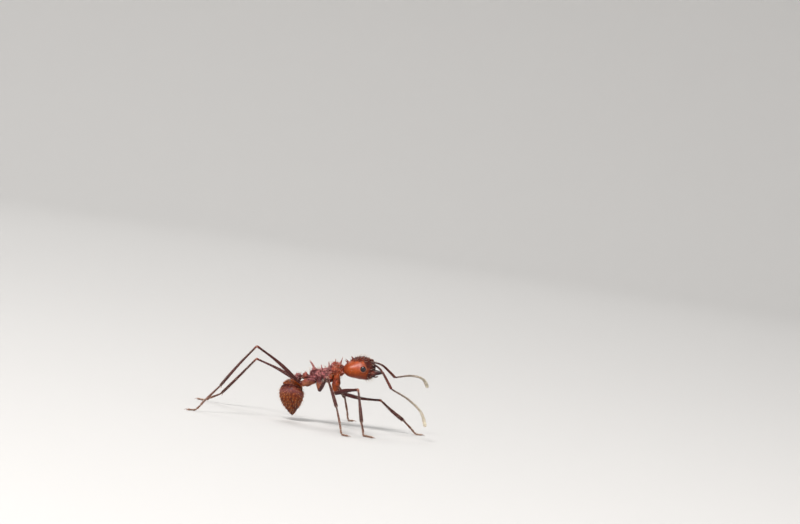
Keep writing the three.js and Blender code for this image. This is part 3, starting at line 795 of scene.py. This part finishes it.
def gaster_colour(shell, ridge, peak):
    share, behind = along_gaster(shell.points), past_collar(shell.points)
    mottle = ramp(-0.7, 0.6, noise(shell.points, 0.24, 21) + 0.7 * noise(shell.points, 0.09, 22))
    colour = layered(
        mixed(0.4 * RUST, AMBER, 0.03 + 0.2 * mottle),
        (AMBER, 0.5 * ramp(-0.02, -0.06, behind) * ramp(0.0, 0.06, share)),  # before the furrow
        # gold tubercle tops, partly their own colour and partly a painted highlight
        (GOLD, 0.5 * peak),
        (FURROW_SHADE, 0.97 * hump(behind, 0.0, 0.058)),  # a dark band along the furrow, painted shade in the groove
        (mixed(PLUM, ROSE, 0.3), 0.7 * hump(behind, 0.13, 0.07)),  # a lilac band behind the furrow, a painted sheen
        (MAROON, 0.4 * ramp(0.7, 0.95, share)),  # the tip
    )
    return with_painted_shade(colour, shell, ridge, 0.14, 0.35, 23)


# ---- legs and feelers

WINE = mixed(MAROON, ROSE, 0.06)
# Pale knees: partly paler joint skin and partly a painted glint.
KNEE = mixed(RUST, PALE, 0.34)
SMOKE = mixed(MAROON, PALE, 0.18)
FOOT = mixed(TAN, PALE, 0.3)
FEMUR_STOPS = [(0, MAROON), (0.4, WINE), (0.92, MAROON), (0.97, RUST), (1, KNEE)]
TIBIA_STOPS = [(0, KNEE), (0.03, RUST), (0.1, MAROON), (0.6, WINE), (0.94, MAROON), (1, SMOKE)]
SCAPE_STOPS = [(0, DUSK), (0.2, MAROON), (1, mixed(MAROON, RUST, 0.5))]
FUNICULUS_STOPS = [(t, mixed(MAROON, CREAM, pale)) for t, pale in ((0, 0), (0.35, 0.25), (0.8, 0.75), (1, 1))]
LIMB_DULLNESS = {"femur": 0.6}
REST_DULLNESS = 0.4
Limb = namedtuple("Limb", "kind tube stops grain")


def trochanter_radius(t):
    return 0.11 + 0.05 * hump(t, 0.5, 0.3)


def femur_radius(peak):
    return lambda t: peak * (0.56 + 0.44 * hump(t, 0.32, 0.3) + 0.06 * hump(t, 0.96, 0.05))


def tibia_radius(full):
    swell = full - TIBIA_KNEE
    return lambda t: (TIBIA_KNEE + swell * ramp(0.02, 0.8, t)) * (1 - 0.16 * ramp(0.93, 1, t))


def pointed(radius, taper=0.85):
    """A radius that narrows evenly along a tube."""
    return lambda t: radius * (1 - taper * t)


def leg_limbs(leg):
    hip, knee, ankle, touch, toe = (on_side(point, leg.side) for point in leg[4:])
    out, down = unit(knee - hip), unit(ankle - knee)
    neck = coxa_end(leg)
    ring = bowed(neck, hip + out * RING_REACH, (hip - neck) * 0.2, 30)
    thigh = bowed(hip + out * THIGH_START, knee + out * JOINT_LAP, (0, 0, leg.lift[0]))
    shin = bowed(knee - out * 0.02, ankle + down * 0.02, (0, 0, leg.lift[1]))
    hinge = bowed(knee - out * HINGE_REACH, knee + out * JOINT_LAP + down * 0.06, count=20)
    return [
        Limb("trochanter", Tube(ring, trochanter_radius), [(0, RUST), (1, MAROON)], 0.4),
        Limb("femur", Tube(thigh, femur_radius(leg.femur), flatten=0.88), FEMUR_STOPS, 0.8),
        Limb("hinge", Tube(hinge, pointed(HINGE_RADIUS, 0)), [(0, KNEE), (1, KNEE)], 0.4),
        Limb("tibia", Tube(shin, tibia_radius(leg.pair.tibia), flatten=0.9), TIBIA_STOPS, 0.8),
        spur(leg, ankle, down, touch),
        *tarsus_limbs(ankle, touch, toe),
    ]


def spur(leg, ankle, down, touch):
    """The movable spine at the end of the tibia, long and curved on the fore legs, where it is a comb."""
    under = unit(np.cross(np.cross(down, unit(touch - ankle)) + 1e-3, down))
    long = COMB_LENGTH if leg.pair is FORE else SPUR_LENGTH
    start = ankle - down * 0.06 - under * 0.09
    middle = start + down * long * 0.5 - under * 0.06
    path = smooth_path([start, middle, start + down * long - under * 0.01], 16)
    return Limb("spur", Tube(path, pointed(0.032), sides=8), [(0, RUST), (1, PALE)], 0.3)


def tarsus_limbs(ankle, touch, toe):
    """Five joints, each wider at its far end, along the curve of the foot."""
    path = smooth_path([ankle, ankle + (touch - ankle) * 0.6, touch, toe], 160)
    path[:, 2] = np.maximum(path[:, 2], TARSUS_RADIUS)
    whole = len(path) - 1
    limbs = []
    for number, (start, end) in enumerate(zip(TARSOMERES, TARSOMERES[1:])):
        part = path[int(start * whole) : int(end * whole) + 1]
        size = TARSUS_RADIUS - TARSUS_TAPER * number
        tube = Tube(part, lambda t, size=size: size * (0.74 + 0.26 * ramp(0, 1, t)), sides=16)
        near, far = (mixed(MAROON, FOOT, 0.06 + 0.32 * place) for place in (start, end))
        limbs.append(Limb("tarsus", tube, [(0, near), (0.8, far), (1, mixed(far, PALE, 0.2))], 0.6))
    return limbs


def scape_radius(t):
    return 0.072 + 0.036 * ramp(0.12, 0.95, t) + 0.03 * hump(t, 0.02, 0.03)


def funiculus_radius(t):
    waist = np.abs(np.cos(math.pi * FUNICULUS_JOINTS * t)) ** 12
    body = 0.068 + 0.022 * ramp(0.05, 0.55, t) + 0.055 * ramp(0.6, 0.92, t)
    return body * (1 - 0.2 * waist) * (1 - 0.25 * ramp(0.95, 1, t))


def antenna_limbs(antenna):
    points = [ANTENNA_SOCKET, antenna.bow, antenna.elbow, *antenna.bends, antenna.tip]
    points = [on_side(point, antenna.side) for point in points]
    scape = smooth_path(points[:3], 90)
    scape = np.vstack([scape[:1] - unit(scape[1] - scape[0]) * 0.14, scape])
    whip = smooth_path(points[2:], 220)
    return [
        Limb("scape", Tube(scape, scape_radius), SCAPE_STOPS, 0.5),
        Limb("funiculus", Tube(whip, funiculus_radius, sides=24), FUNICULUS_STOPS, 0.6),
    ]


def palp_limbs():
    """The feelers of the mouth, two short pairs under the mandibles."""
    limbs = []
    for side in BOTH:
        for across, reach in ((0.22, 0.42), (0.08, 0.28)):
            start = vec((1.12, across * side, -0.56))
            bend, end = start + (0.14, 0, -0.08), start + (reach, 0.04 * side, -0.02)
            path = smooth_path(in_head([start, bend, end]), 24)
            tube = Tube(path, lambda t: 0.034 - 0.01 * t, sides=8)
            limbs.append(Limb("palp", tube, [(0, MAROON), (1, RUST)], 0.4))
    return limbs


def stop_colours(stops, share):
    places = [place for place, _ in stops]
    return np.stack([np.interp(share, places, [colour[i] for _, colour in stops]) for i in range(3)], 1)


# ---- meshes


def add_object(name, points, faces, material):
    mesh = bpy.data.meshes.new(name)
    mesh.from_pydata((points * MM).tolist(), [], faces)
    mesh.update()
    mesh.polygons.foreach_set("use_smooth", [True] * len(mesh.polygons))
    mesh.materials.append(material)
    made = bpy.data.objects.new(name, mesh)
    bpy.context.scene.collection.objects.link(made)
    return made


def add_piece(name, points, faces, material, slot, *nodes):
    """An object that rides on the body, with the given material, and stands for some of the solids. Its slot
    is not used.
    """
    piece = add_object(name, points, faces, material)
    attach(piece, BODY)
    if nodes:
        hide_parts(*nodes)
    return piece


def paint(piece, colour, **values):
    """Keeps the colour of each point on the mesh, with its grain and dullness where they are given."""
    tint = piece.data.attributes.new("tint", "FLOAT_COLOR", "POINT")
    tint.data.foreach_set("color", single(np.hstack([colour, np.ones((len(colour), 1))])).ravel())
    for name, value in values.items():
        piece.data.attributes.new(name, "FLOAT", "POINT").data.foreach_set("value", single(value))


Part = namedtuple("Part", "points faces colour grain dull")


def stacked(meshes):
    """The points and faces of several meshes, laid one after another."""
    faces, start = [], 0
    for points, more in meshes:
        faces += [[i + start for i in face] for face in more]
        start += len(points)
    return np.vstack([points for points, _ in meshes]), faces


def joined(parts):
    """Several parts as one."""
    points, faces = stacked([part[:2] for part in parts])
    colour, grain, dull = (np.concatenate(values) for values in list(zip(*parts))[2:])
    return Part(points, faces, colour, grain, dull)


# ---- materials


class Finish:
    """A material in the making. What is the same all over is set on the shader's own sockets."""

    def __init__(self, name, sockets):
        self.material = bpy.data.materials.new(name)
        self.material.use_nodes = True
        self.tree = self.material.node_tree
        self.feed(self.tree.nodes["Principled BSDF"], sockets)

    def feed(self, node, sockets):
        for name, value in sockets.items():
            if isinstance(value, bpy.types.NodeSocket):
                self.tree.links.new(value, node.inputs[name])
            else:
                node.inputs[name].default_value = value

    def add(self, kind, output, inputs, **settings):
        """A new node's output. Its inputs and its output are given by name or number."""
        made = self.tree.nodes.new("ShaderNode" + kind)
        for key, value in settings.items():
            setattr(made, key, value)
        self.feed(made, inputs)
        return made.outputs[output]

    def texture(self, kind, output, cycles, inputs, **settings):
        """A texture in the object's own frame, with so many cycles for each millimetre."""
        place = self.add("TexCoord", "Object", {})
        return self.add(kind, output, {"Vector": place, "Scale": cycles / MM, **inputs}, **settings)

    def noise(self, cycles, detail=3.0):
        return self.texture("TexNoise", "Fac", cycles, {"Detail": detail})

    def cell_edges(self, cycles):
        return self.texture("TexVoronoi", "Distance", cycles, {}, feature="DISTANCE_TO_EDGE")

    def maths(self, operation, first, second):
        return self.add("Math", 0, {0: first, 1: second}, operation=operation)

    def spread(self, value, low, high):
        """The value from 0 to 1, spread from low to high."""
        return self.add("MapRange", 0, {"Value": value, "To Min": low, "To Max": high})

    def between(self, first, second, share):
        return self.add("Mix", 2, {"Factor": share, 6: first, 7: second}, data_type="RGBA")

    def painted(self, name, output="Fac"):
        return self.add("Attribute", output, {}, attribute_name=name)

    def tint(self, change, low, high):
        """The painted colour, made darker and lighter by the change."""
        inputs = {0: self.painted("tint", "Color"), "Scale": self.spread(change, low, high)}
        return self.add("VectorMath", 0, inputs, operation="SCALE")

    def bump(self, height, strength, depth):
        return self.add("Bump", 0, {"Height": height, "Strength": strength, "Distance": depth * MM})

    def done(self, sockets):
        """The material, with what varies linked to its shader."""
        self.feed(self.tree.nodes["Principled BSDF"], sockets)
        return self.material


def cuticle_material():
    even = {"IOR": 1.45, "Specular IOR Level": 0.25, "Subsurface Weight": 0.08}
    even |= {"Subsurface Radius": (1.0, 0.3, 0.12), "Subsurface Scale": 0.12 * MM}
    finish = Finish("cuticle", even)
    pits = finish.noise(40)
    relief = finish.maths("ADD", finish.cell_edges(22), finish.maths("MULTIPLY", pits, 0.8))
    height = finish.maths("MULTIPLY", relief, finish.spread(finish.painted("grain"), 0.08, 1.0))
    colour = finish.tint(finish.noise(9, 5.0), 0.45, 1.55)
    roughness = finish.maths("ADD", finish.painted("dull"), finish.spread(pits, -0.08, 0.1))
    bump = finish.bump(height, 0.6, 0.02)
    return finish.done({"Base Color": colour, "Roughness": roughness, "Normal": bump})


def mandible_material():
    finish = Finish("mandible", {"IOR": 1.45, "Specular IOR Level": 0.35})
    streak = finish.noise(14, 4.0)
    colour, roughness = finish.tint(streak, 0.5, 1.6), finish.spread(streak, 0.38, 0.56)
    bump = finish.bump(streak, 0.8, 0.03)
    return finish.done({"Base Color": colour, "Roughness": roughness, "Normal": bump})


def eye_material():
    finish = Finish("eye", {"IOR": 1.5, "Roughness": 0.12})
    colour = finish.between((0.002, 0.001, 0.002, 1), (0.016, 0.006, 0.012, 1), finish.noise(5))
    return finish.done({"Base Color": colour, "Normal": finish.bump(finish.noise(30), 0.05, 0.01)})


def bristle_material():
    finish = Finish("bristle", {"IOR": 1.5, "Roughness": 0.3, "Transmission Weight": 0.3})
    return finish.done({"Base Color": finish.tint(finish.noise(3), 0.75, 1.2)})


def claw_material():
    finish = Finish("claw", {"IOR": 1.54, "Coat Weight": 0.5, "Coat Roughness": 0.15})
    change = finish.noise(12)
    colour = finish.between((0.09, 0.03, 0.02, 1), (0.3, 0.12, 0.05, 1), change)
    return finish.done({"Base Color": colour, "Roughness": finish.spread(change, 0.2, 0.4)})


# ---- eyes, mandibles and claws

EYE_RINGS, EYE_AROUND = 60, 90
FACET = 0.026  # the distance between the rows of facets
FACET_HEIGHT = 0.0007


def build_eye(name, side, material):
    """A dome with small hexagonal facets, sunk in its socket."""
    lat, lon = np.meshgrid(np.linspace(0.001, math.pi - 0.001, EYE_RINGS), around(EYE_AROUND), indexing="ij")
    ball = np.stack([np.sin(lat) * np.cos(lon), np.cos(lat), np.sin(lat) * np.sin(lon)], -1).reshape(-1, 3)
    flat = ball[:, [0, 2]] * EYE_RADII[[0, 2]] / FACET
    ways = [(math.cos(a), math.sin(a)) for a in (0, math.pi / 3, 2 * math.pi / 3)]
    domes = FACET_HEIGHT * sum(np.cos(FULL_TURN * (flat @ way)) for way in ways)
    points = in_head((ball * (EYE_RADII + domes[:, None]) + EYE_PLACE) * (1, side, 1))
    faces = [face for part in tube_faces(EYE_RINGS, EYE_AROUND) for face in part[:, ::-side].tolist()]
    add_piece(f"eye_{name}_dome", points, faces, material, "eye", f"eye_{name}")


# The blade seen from above, in the head's frame: its root's inner and outer end, the bow of its outer side,
# its tip, and the heel of its toothed edge. Then the depth of the first notch and of the others.
MANDIBLE_ROOT = (vec((0.84, 0.3)), vec((0.84, 0.8)))
MANDIBLE_BOW, MANDIBLE_TIP, MANDIBLE_HEEL = vec((1.7, 0.86)), vec((1.95, 0.07)), vec((1.36, 0.15))
MANDIBLE_TEETH = 9
FIRST_NOTCH, NOTCH = 0.085, 0.05
MANDIBLE_LEVEL = -0.28


def mandible_outline():
    t = np.linspace(0, 1, 24)[:, None]
    outer = (1 - t) ** 2 * MANDIBLE_ROOT[1] + 2 * t * (1 - t) * MANDIBLE_BOW + t**2 * MANDIBLE_TIP
    edge = MANDIBLE_HEEL - MANDIBLE_TIP
    teeth = []
    for i in range(MANDIBLE_TEETH):
        teeth.append(MANDIBLE_TIP + edge * (i + 0.62) / MANDIBLE_TEETH + (0, NOTCH if i else FIRST_NOTCH))
        teeth.append(MANDIBLE_TIP + edge * (i + 1) / MANDIBLE_TEETH)
    return np.vstack([MANDIBLE_ROOT[0], outer, teeth])


def polygon_distance(points, outline):
    """Signed distance of flat points from a closed outline, negative inside."""
    near = np.full(points.shape[:-1], FAR)
    inside = np.zeros(points.shape[:-1], bool)
    x, y = points[..., 0], points[..., 1]
    for a, b in zip(outline, np.roll(outline, -1, axis=0)):
        edge = b - a
        share = np.clip(((points - a) @ edge) / (edge @ edge), 0, 1)
        near = np.minimum(near, length(points - a - share[..., None] * edge))
        crosses = (a[1] > y) != (b[1] > y)
        level = np.where(b[1] == a[1], 1, b[1] - a[1])
        inside ^= crosses & (x < (b[0] - a[0]) * (y - a[1]) / level + a[0])
    return np.where(inside, -near, near)


def mandible_distance(points):
    """A blade that is thick at its root and along its outer side, and thin at its toothed edge."""
    flat = polygon_distance(points[:, :, 0, :2].astype(float), mandible_outline())[..., None]
    share = np.clip((points[..., 0] - 0.84) / 1.1, 0, 1)
    inward = np.clip(-flat / 0.22, 0, 1)
    half = 0.045 + (0.17 * (1 - share) ** 0.7 + 0.03) * inward**0.6
    off = np.abs(points[..., 2] - MANDIBLE_LEVEL) - half
    return -soft_min(-flat, -off, 0.05)


def mandible_shell():
    field = Field((0.74, -0.02, -0.66), (2.05, 1.0, 0.06), 0.012)
    field.fill(mandible_distance)
    return surface(field, probe=0.05)


def build_mandible(name, side, shell, material):
    x, y, _ = shell.points.T
    edge = ramp(0.3, 0.12, y) * ramp(1.15, 1.4, x)
    colour = layered(RUST, (MAROON, ramp(0.9, 1.4, x)), (DUSK, np.maximum(edge, ramp(1.2, 1.9, x))))
    points, faces = in_head(shell.points * (1, side, 1)), shell.faces[:, ::side].tolist()
    node = f"mandible_{name}"
    paint(add_piece(node + "_blade", points, faces, material, "mandible_cuticle", node), colour)


def build_claws(material):
    """Two curved claws at each toe, with their points down."""
    claws = []
    for leg in LEGS:
        touch, toe = on_side(leg.touch, leg.side), on_side(leg.toe, leg.side)
        way = unit((toe - touch) * (1, 1, 0))
        across = np.cross((0, 0, 1.0), way)
        for turn in (-1, 1):
            start = toe - way * 0.03 + across * turn * 0.03
            high = toe + way * 0.12 + across * turn * 0.1 + (0, 0, 0.03)
            end = toe * (1, 1, 0) + way * 0.24 + across * turn * 0.16 + (0, 0, 0.014)
            claws.append(Tube(smooth_path([start, high, end], 18), pointed(0.036), sides=10).mesh()[:2])
    add_piece("claws", *stacked(claws), material, "leg_cuticle")


# ---- bristles and down

Roots = namedtuple("Roots", "point normal lie uv")

# The map that the hairs share: three large charts for the shells, over a grid of small ones for the tubes.
CHARTS = {"head": (0.01, 0.52), "trunk": (0.34, 0.52), "gaster": (0.67, 0.52)}
CHART_SIZE = (0.31, 0.46)
GRID_COLUMNS, GRID_ROWS = 12, 8
GRID_HEIGHT = 0.5
CELL_EDGE, CELL_SIZE = 0.05, 0.85  # where a tube's chart starts in its cell, and its size, as shares of it
PATCH = 0.003  # the side of each hair's own piece of the map
HAIR_DEPTH = 0.012  # how far a hair's root is sunk in the skin
HAIR_TAPER = 0.88
LOWEST = 0.002  # no hair reaches the floor
HAIR_ROOT = vec((0.42, 0.2, 0.1))
HAIR_TIP = vec((0.88, 0.76, 0.6))
GOLDEN_TIP = vec((0.8, 0.46, 0.16))


def shell_roots(chart, shell, chosen, centre, axis, lie):
    """Roots at chosen points of a shell, mapped by unrolling the shell round an axis."""
    away = shell.points - centre
    along = away @ axis
    side = unit(np.cross(axis, (0.0, 1.0, 0.0)))
    angle = np.arctan2(away[chosen] @ side, away[chosen, 1]) / FULL_TURN % 1
    share = (along[chosen] - along.min()) / np.ptp(along)
    uv = vec(chart) + np.stack([angle, share], -1) * CHART_SIZE
    point = shell.points[chosen]
    return Roots(point, shell.normals[chosen], np.broadcast_to(unit(vec(lie)), point.shape), uv)


def tube_roots(tube, number, count, rng):
    """Roots drawn all over a tube, mapped to the small chart of its number."""
    share, angle = rng.uniform(0.03, 0.98, count), rng.uniform(0, FULL_TURN, count)
    u = (number % GRID_COLUMNS + CELL_EDGE + CELL_SIZE * angle / FULL_TURN) / GRID_COLUMNS
    v = (number // GRID_COLUMNS + CELL_EDGE + CELL_SIZE * share) / GRID_ROWS * GRID_HEIGHT
    return Roots(*tube.at(share, angle), np.stack([u, v], -1))


def limb_roots(limbs, kind, count, rng):
    """Roots on every limb of a kind, so many on each."""
    roots = [tube_roots(limb.tube, i, count, rng) for i, limb in enumerate(limbs) if limb.kind == kind]
    return Roots(*(np.concatenate(part) for part in zip(*roots)))


def hair_paths(roots, reach, lean, curl, rng, rings):
    """The bent middle line of each hair, with two directions across it."""
    count = len(roots.point)
    lie = unit(roots.lie - roots.normal * (roots.lie * roots.normal).sum(1, keepdims=True))
    lie = unit(lie + np.cross(roots.normal, lie) * rng.normal(0, 0.4, count)[:, None])
    tip = (lean + rng.normal(0, 0.14, count))[:, None]
    start = unit(roots.normal * np.cos(tip) + lie * np.sin(tip))
    reach = reach * rng.uniform(0.65, 1.25, count)[:, None, None]
    bend = curl * rng.uniform(0.5, 1.5, count)[:, None, None]
    t = np.linspace(0, 1, rings)[None, :, None]
    sunk = (roots.point - HAIR_DEPTH * roots.normal)[:, None]
    path = sunk + reach * (t * start[:, None] + bend * t**2 * lie[:, None])
    across = unit(np.cross(start, lie) + 1e-6)
    return path, t, across, np.cross(across, start)


def map_hairs(piece, roots, rings, sides):
    """Gives each hair its small patch of the shared map, at its root's place."""
    patch = PATCH * np.stack(np.meshgrid(np.linspace(0, 1, sides), np.linspace(0, 1, rings)), -1)
    point_uv = (roots.uv[:, None] + patch.reshape(1, -1, 2)).reshape(-1, 2)
    layer = piece.data.uv_layers.new(name="OFBake")
    corners = np.empty(len(piece.data.loops), np.int32)
    piece.data.loops.foreach_get("vertex_index", corners)
    layer.data.foreach_set("uv", single(point_uv[corners]).ravel())


def grow(name, roots, reach, radius, lean, curl, rng, material, sides=4, rings=6, tip=HAIR_TIP):
    """Tapered hairs on their roots. lean tips them along their lie, and curl bends their points further."""
    count = len(roots.point)
    path, t, across, up = hair_paths(roots, reach, lean, curl, rng, rings)
    turn = around(sides)[None, None, :, None]
    ring = np.cos(turn) * across[:, None, None] + np.sin(turn) * up[:, None, None]
    thick = radius * rng.uniform(0.8, 1.2, count)[:, None, None, None]
    width = thick * (1 - HAIR_TAPER * t[..., None] ** 1.3)
    points = (path[:, :, None] + width * ring).reshape(-1, 3)
    points[:, 2] = np.maximum(points[:, 2], LOWEST)
    wall, caps = tube_faces(rings, sides)
    base = (np.arange(count) * rings * sides)[:, None]
    walls = (base[:, :, None] + wall).reshape(-1, 4)
    ends = np.concatenate([base + cap for cap in caps])
    piece = add_piece(name, points, walls.tolist() + ends.tolist(), material, "bristle")
    share = np.broadcast_to(t[..., None], (count, rings, sides, 1)).ravel()
    paint(piece, mixed(HAIR_ROOT, tip, share))
    map_hairs(piece, roots, rings, sides)


# ---- putting the ant together


def sculpted(shell, nets, count, density, spacing, height, width, rng):
    """The shell with nets and tubercles, the tubercles' places, and how much of a ridge and a peak it is.

    A net is given as its size, its height, where it is, how much it counts as a ridge, and its seed."""
    ridge = 0
    for size, lift, where, weight, seed in nets:
        shell, net = with_network(shell, size, lift, where, seed)
        ridge = np.maximum(ridge, weight * net)
    chosen = scatter(shell, count, density, spacing, rng)
    shell, peak = with_tubercles(shell, chosen, height, width, rng)
    return shell, chosen, ridge, peak


def sculpted_head(rng):
    shell = head_shell()
    rough = head_grain(shell)
    crown = lambda p: 0.01 + rough * ramp(1.15, 0.9, of_head(p)[:, 0])
    nets = [(0.1, 0.015, 0.04 + 0.96 * rough, 1, 31)]
    shell, spots, ridge, peak = sculpted(shell, nets, 110, crown, 0.13, 0.06, 0.042, rng)
    return shell, spots, head_colour(shell, rough, ridge, peak), rough, 0.33 + 0.17 * rough


def sculpted_trunk(rng):
    shell = trunk_shell()
    rough = trunk_grain(shell)
    nets = [(0.15, 0.03, 0.05 + 0.95 * rough, 1, 33), (0.07, 0.012, 0.1 + 0.9 * rough, 0.5, 35)]
    shell, spots, ridge, peak = sculpted(shell, nets, 180, trunk_hairiness, 0.11, 0.055, 0.042, rng)
    return shell, spots, trunk_colour(shell, rough, ridge, peak), rough, 0.42 - 0.1 * rough


def trunk_hairiness(points):
    """The back and the waist bear the bristles, and the flanks a few."""
    x, _, z = points.T
    return 0.05 + ramp(3.8, 4.45, z) + 0.9 * ramp(-0.35, -0.5, x) * ramp(3.4, 3.6, z)


def sculpted_gaster(rng):
    nets = [(0.09, 0.01, 1.0, 1, 37)]
    shell, spots, ridge, peak = sculpted(gaster_shell(), nets, 260, gaster_hairiness, 0.16, 0.05, 0.06, rng)
    dull = 0.33 + 0.12 * ramp(0.25, 0.6, along_gaster(shell.points))
    return shell, spots, gaster_colour(shell, ridge, peak), np.full(len(peak), 0.75), dull


def gaster_hairiness(points):
    """The tip bears fewer bristles."""
    return 0.15 + ramp(0.8, 0.65, along_gaster(points))


def limb_part(limb):
    points, faces, normals, share = limb.tube.mesh()
    points = points + normals * (0.005 * noise(points, 0.08, 41))[:, None]
    change = 1 + 0.2 * noise(points, 0.2, 43) + 0.15 * noise(points, 0.07, 45)
    colour = stop_colours(limb.stops, share) * change[:, None]
    grain, dull = np.full((2, len(points)), [[limb.grain], [LIMB_DULLNESS.get(limb.kind, REST_DULLNESS)]])
    return Part(points, faces, colour, grain, dull)


rng = np.random.default_rng(SEED)
head, head_spots, *head_looks = sculpted_head(rng)
trunk, trunk_spots, *trunk_looks = sculpted_trunk(rng)
gaster, gaster_spots, *gaster_looks = sculpted_gaster(rng)
limbs = [limb for leg in LEGS for limb in leg_limbs(leg)]
limbs += [limb for antenna in ANTENNAE for limb in antenna_limbs(antenna)] + palp_limbs()

shells = ((head, head_looks), (trunk, trunk_looks), (gaster, gaster_looks))
parts = [Part(shell.points, shell.faces.tolist(), *looks) for shell, looks in shells]
whole = joined(parts + [limb_part(limb) for limb in limbs])
nodes = [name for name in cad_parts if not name.startswith(("eye_", "mandible_"))]
skin = add_piece("skin", whole.points, whole.faces, cuticle_material(), "thorax_cuticle", *nodes)
paint(skin, whole.colour, grain=whole.grain, dull=whole.dull)

eye_finish, blade, blade_finish = eye_material(), mandible_shell(), mandible_material()
for name, side in SIDES.items():
    build_eye(name, side, eye_finish)
    build_mandible(name, side, blade, blade_finish)
build_claws(claw_material())

# Each coat of bristles: its shell and its places there, the middle and axis that its map unrolls round, the
# way it lies, its reach, root radius, lean and curl, and the colour of its tips.
HEAD_MAP = HEAD_CENTRE, HEAD_AXIS, HEAD_AXIS
TRUNK_MAP = vec((1, 0, 4)), vec((1, 0, 0)), (-0.8, 0, 0.4)
GASTER_MAP = GASTER_FRONT, GASTER_AXIS, GASTER_AXIS
bristle_finish = bristle_material()
for name, *places, reach, radius, lean, curl, tip in (
    ("head", head, head_spots, *HEAD_MAP, 0.25, 0.0095, 0.35, 0.4, HAIR_TIP),
    ("trunk", trunk, trunk_spots, *TRUNK_MAP, 0.3, 0.0105, 0.35, 0.35, HAIR_TIP),
    ("gaster", gaster, gaster_spots, *GASTER_MAP, 0.2, 0.0078, 0.5, 0.3, GOLDEN_TIP),
):
    roots = shell_roots(CHARTS[name], *places)
    grow(f"bristles_{name}", roots, reach, radius, lean, curl, rng, bristle_finish, tip=tip)

# For each kind of limb: hairs on each, their reach, root radius and lean.
DOWN = {
    "trochanter": (8, 0.12, 0.008, 0.6),
    "femur": (90, 0.12, 0.006, 0.9),
    "tibia": (330, 0.11, 0.0066, 0.9),
    "tarsus": (90, 0.09, 0.006, 0.9),
    "scape": (150, 0.1, 0.006, 0.85),
    "funiculus": (1600, 0.05, 0.005, 0.95),
}
for kind, (count, reach, radius, lean) in DOWN.items():
    roots = limb_roots(limbs, kind, count, rng)
    grow(f"hairs_{kind}", roots, reach, radius, lean, 0.15, rng, bristle_finish, sides=3, rings=4)
grow("guard_hairs", limb_roots(limbs, "femur", 9, rng), 0.26, 0.009, 0.3, 0.25, rng, bristle_finish)

# ---- floor, light and camera


def build_floor():
    """A wide pale floor, level with the soles, that sweeps up into a round wall."""
    flat, sweep, wall, sides = 420.0, 260.0, 700.0, 96
    turns = np.linspace(0, math.pi / 2, 24)
    curve = [(flat + sweep * math.sin(a), sweep * (1 - math.cos(a))) for a in turns]
    profile = np.array([(60.0, 0), (200.0, 0), *curve, (flat + sweep, wall)])
    angle = around(sides)
    ring = np.stack([np.cos(angle), np.sin(angle)], 1)
    points = vec([(*(ring[i] * r), z) for r, z in profile for i in range(sides)])
    quads, (bottom, _) = tube_faces(len(profile), sides)
    faces = [bottom[::-1].tolist(), *quads[:, ::-1].tolist()]
    finish = Finish("floor", {"Base Color": (0.58, 0.57, 0.555, 1), "Roughness": 0.7})
    add_object("floor", points, faces, finish.material)


def aimed(name, data, place, back, roll=0.0):
    """Adds a light or a camera at a place, looking away from back and rolled round its view."""
    made = bpy.data.objects.new(name, data)
    made.location = place * MM
    made.rotation_mode = "QUATERNION"
    made.rotation_quaternion = (-back).to_track_quat("-Z", "Y") @ Quaternion((0, 0, 1), roll)
    bpy.context.scene.collection.objects.link(made)
    return made


def build_light(name, place, size, power, colour):
    data = bpy.data.lights.new(name, "AREA")
    data.shape = "DISK"
    data.size = size * MM
    data.energy = power
    data.color = colour
    aimed(name, data, Vector(place), Vector(place) - Vector((1, 0, 3)))


def build_world():
    world = bpy.data.worlds.new("studio")
    world.use_nodes = True
    background = world.node_tree.nodes["Background"]
    background.inputs["Color"].default_value = (0.95, 0.97, 1.0, 1)
    background.inputs["Strength"].default_value = 0.24
    bpy.context.scene.world = world


def build_camera():
    """Level with the ant and a little above it, leaning so that the floor falls away to the right."""
    distance, width, sensor = 260.0, 64.0, 36.0
    elevation, lean = math.radians(2.0), math.radians(8.44)
    aim = Vector((5.52, 0, 13.85))
    back = Vector((0, -math.cos(elevation), math.sin(elevation)))
    data = bpy.data.cameras.new("camera")
    data.sensor_width = sensor
    data.lens = sensor * distance / width
    data.clip_start = 0.01
    data.clip_end = 20
    bpy.context.scene.camera = aimed("camera", data, aim + back * distance, back, lean)


bpy.context.scene.view_settings.view_transform = "Standard"
build_floor()
build_world()
build_light("key", (-150, -340, 370), 190, 3.5, (1.0, 0.98, 0.97))
build_light("fill", (380, -240, 130), 260, 0.45, (0.94, 0.97, 1.0))
build_light("back", (-60, 420, 420), 320, 1.3, (1.0, 1.0, 1.0))
build_camera()

bpy.context.view_layer.update()
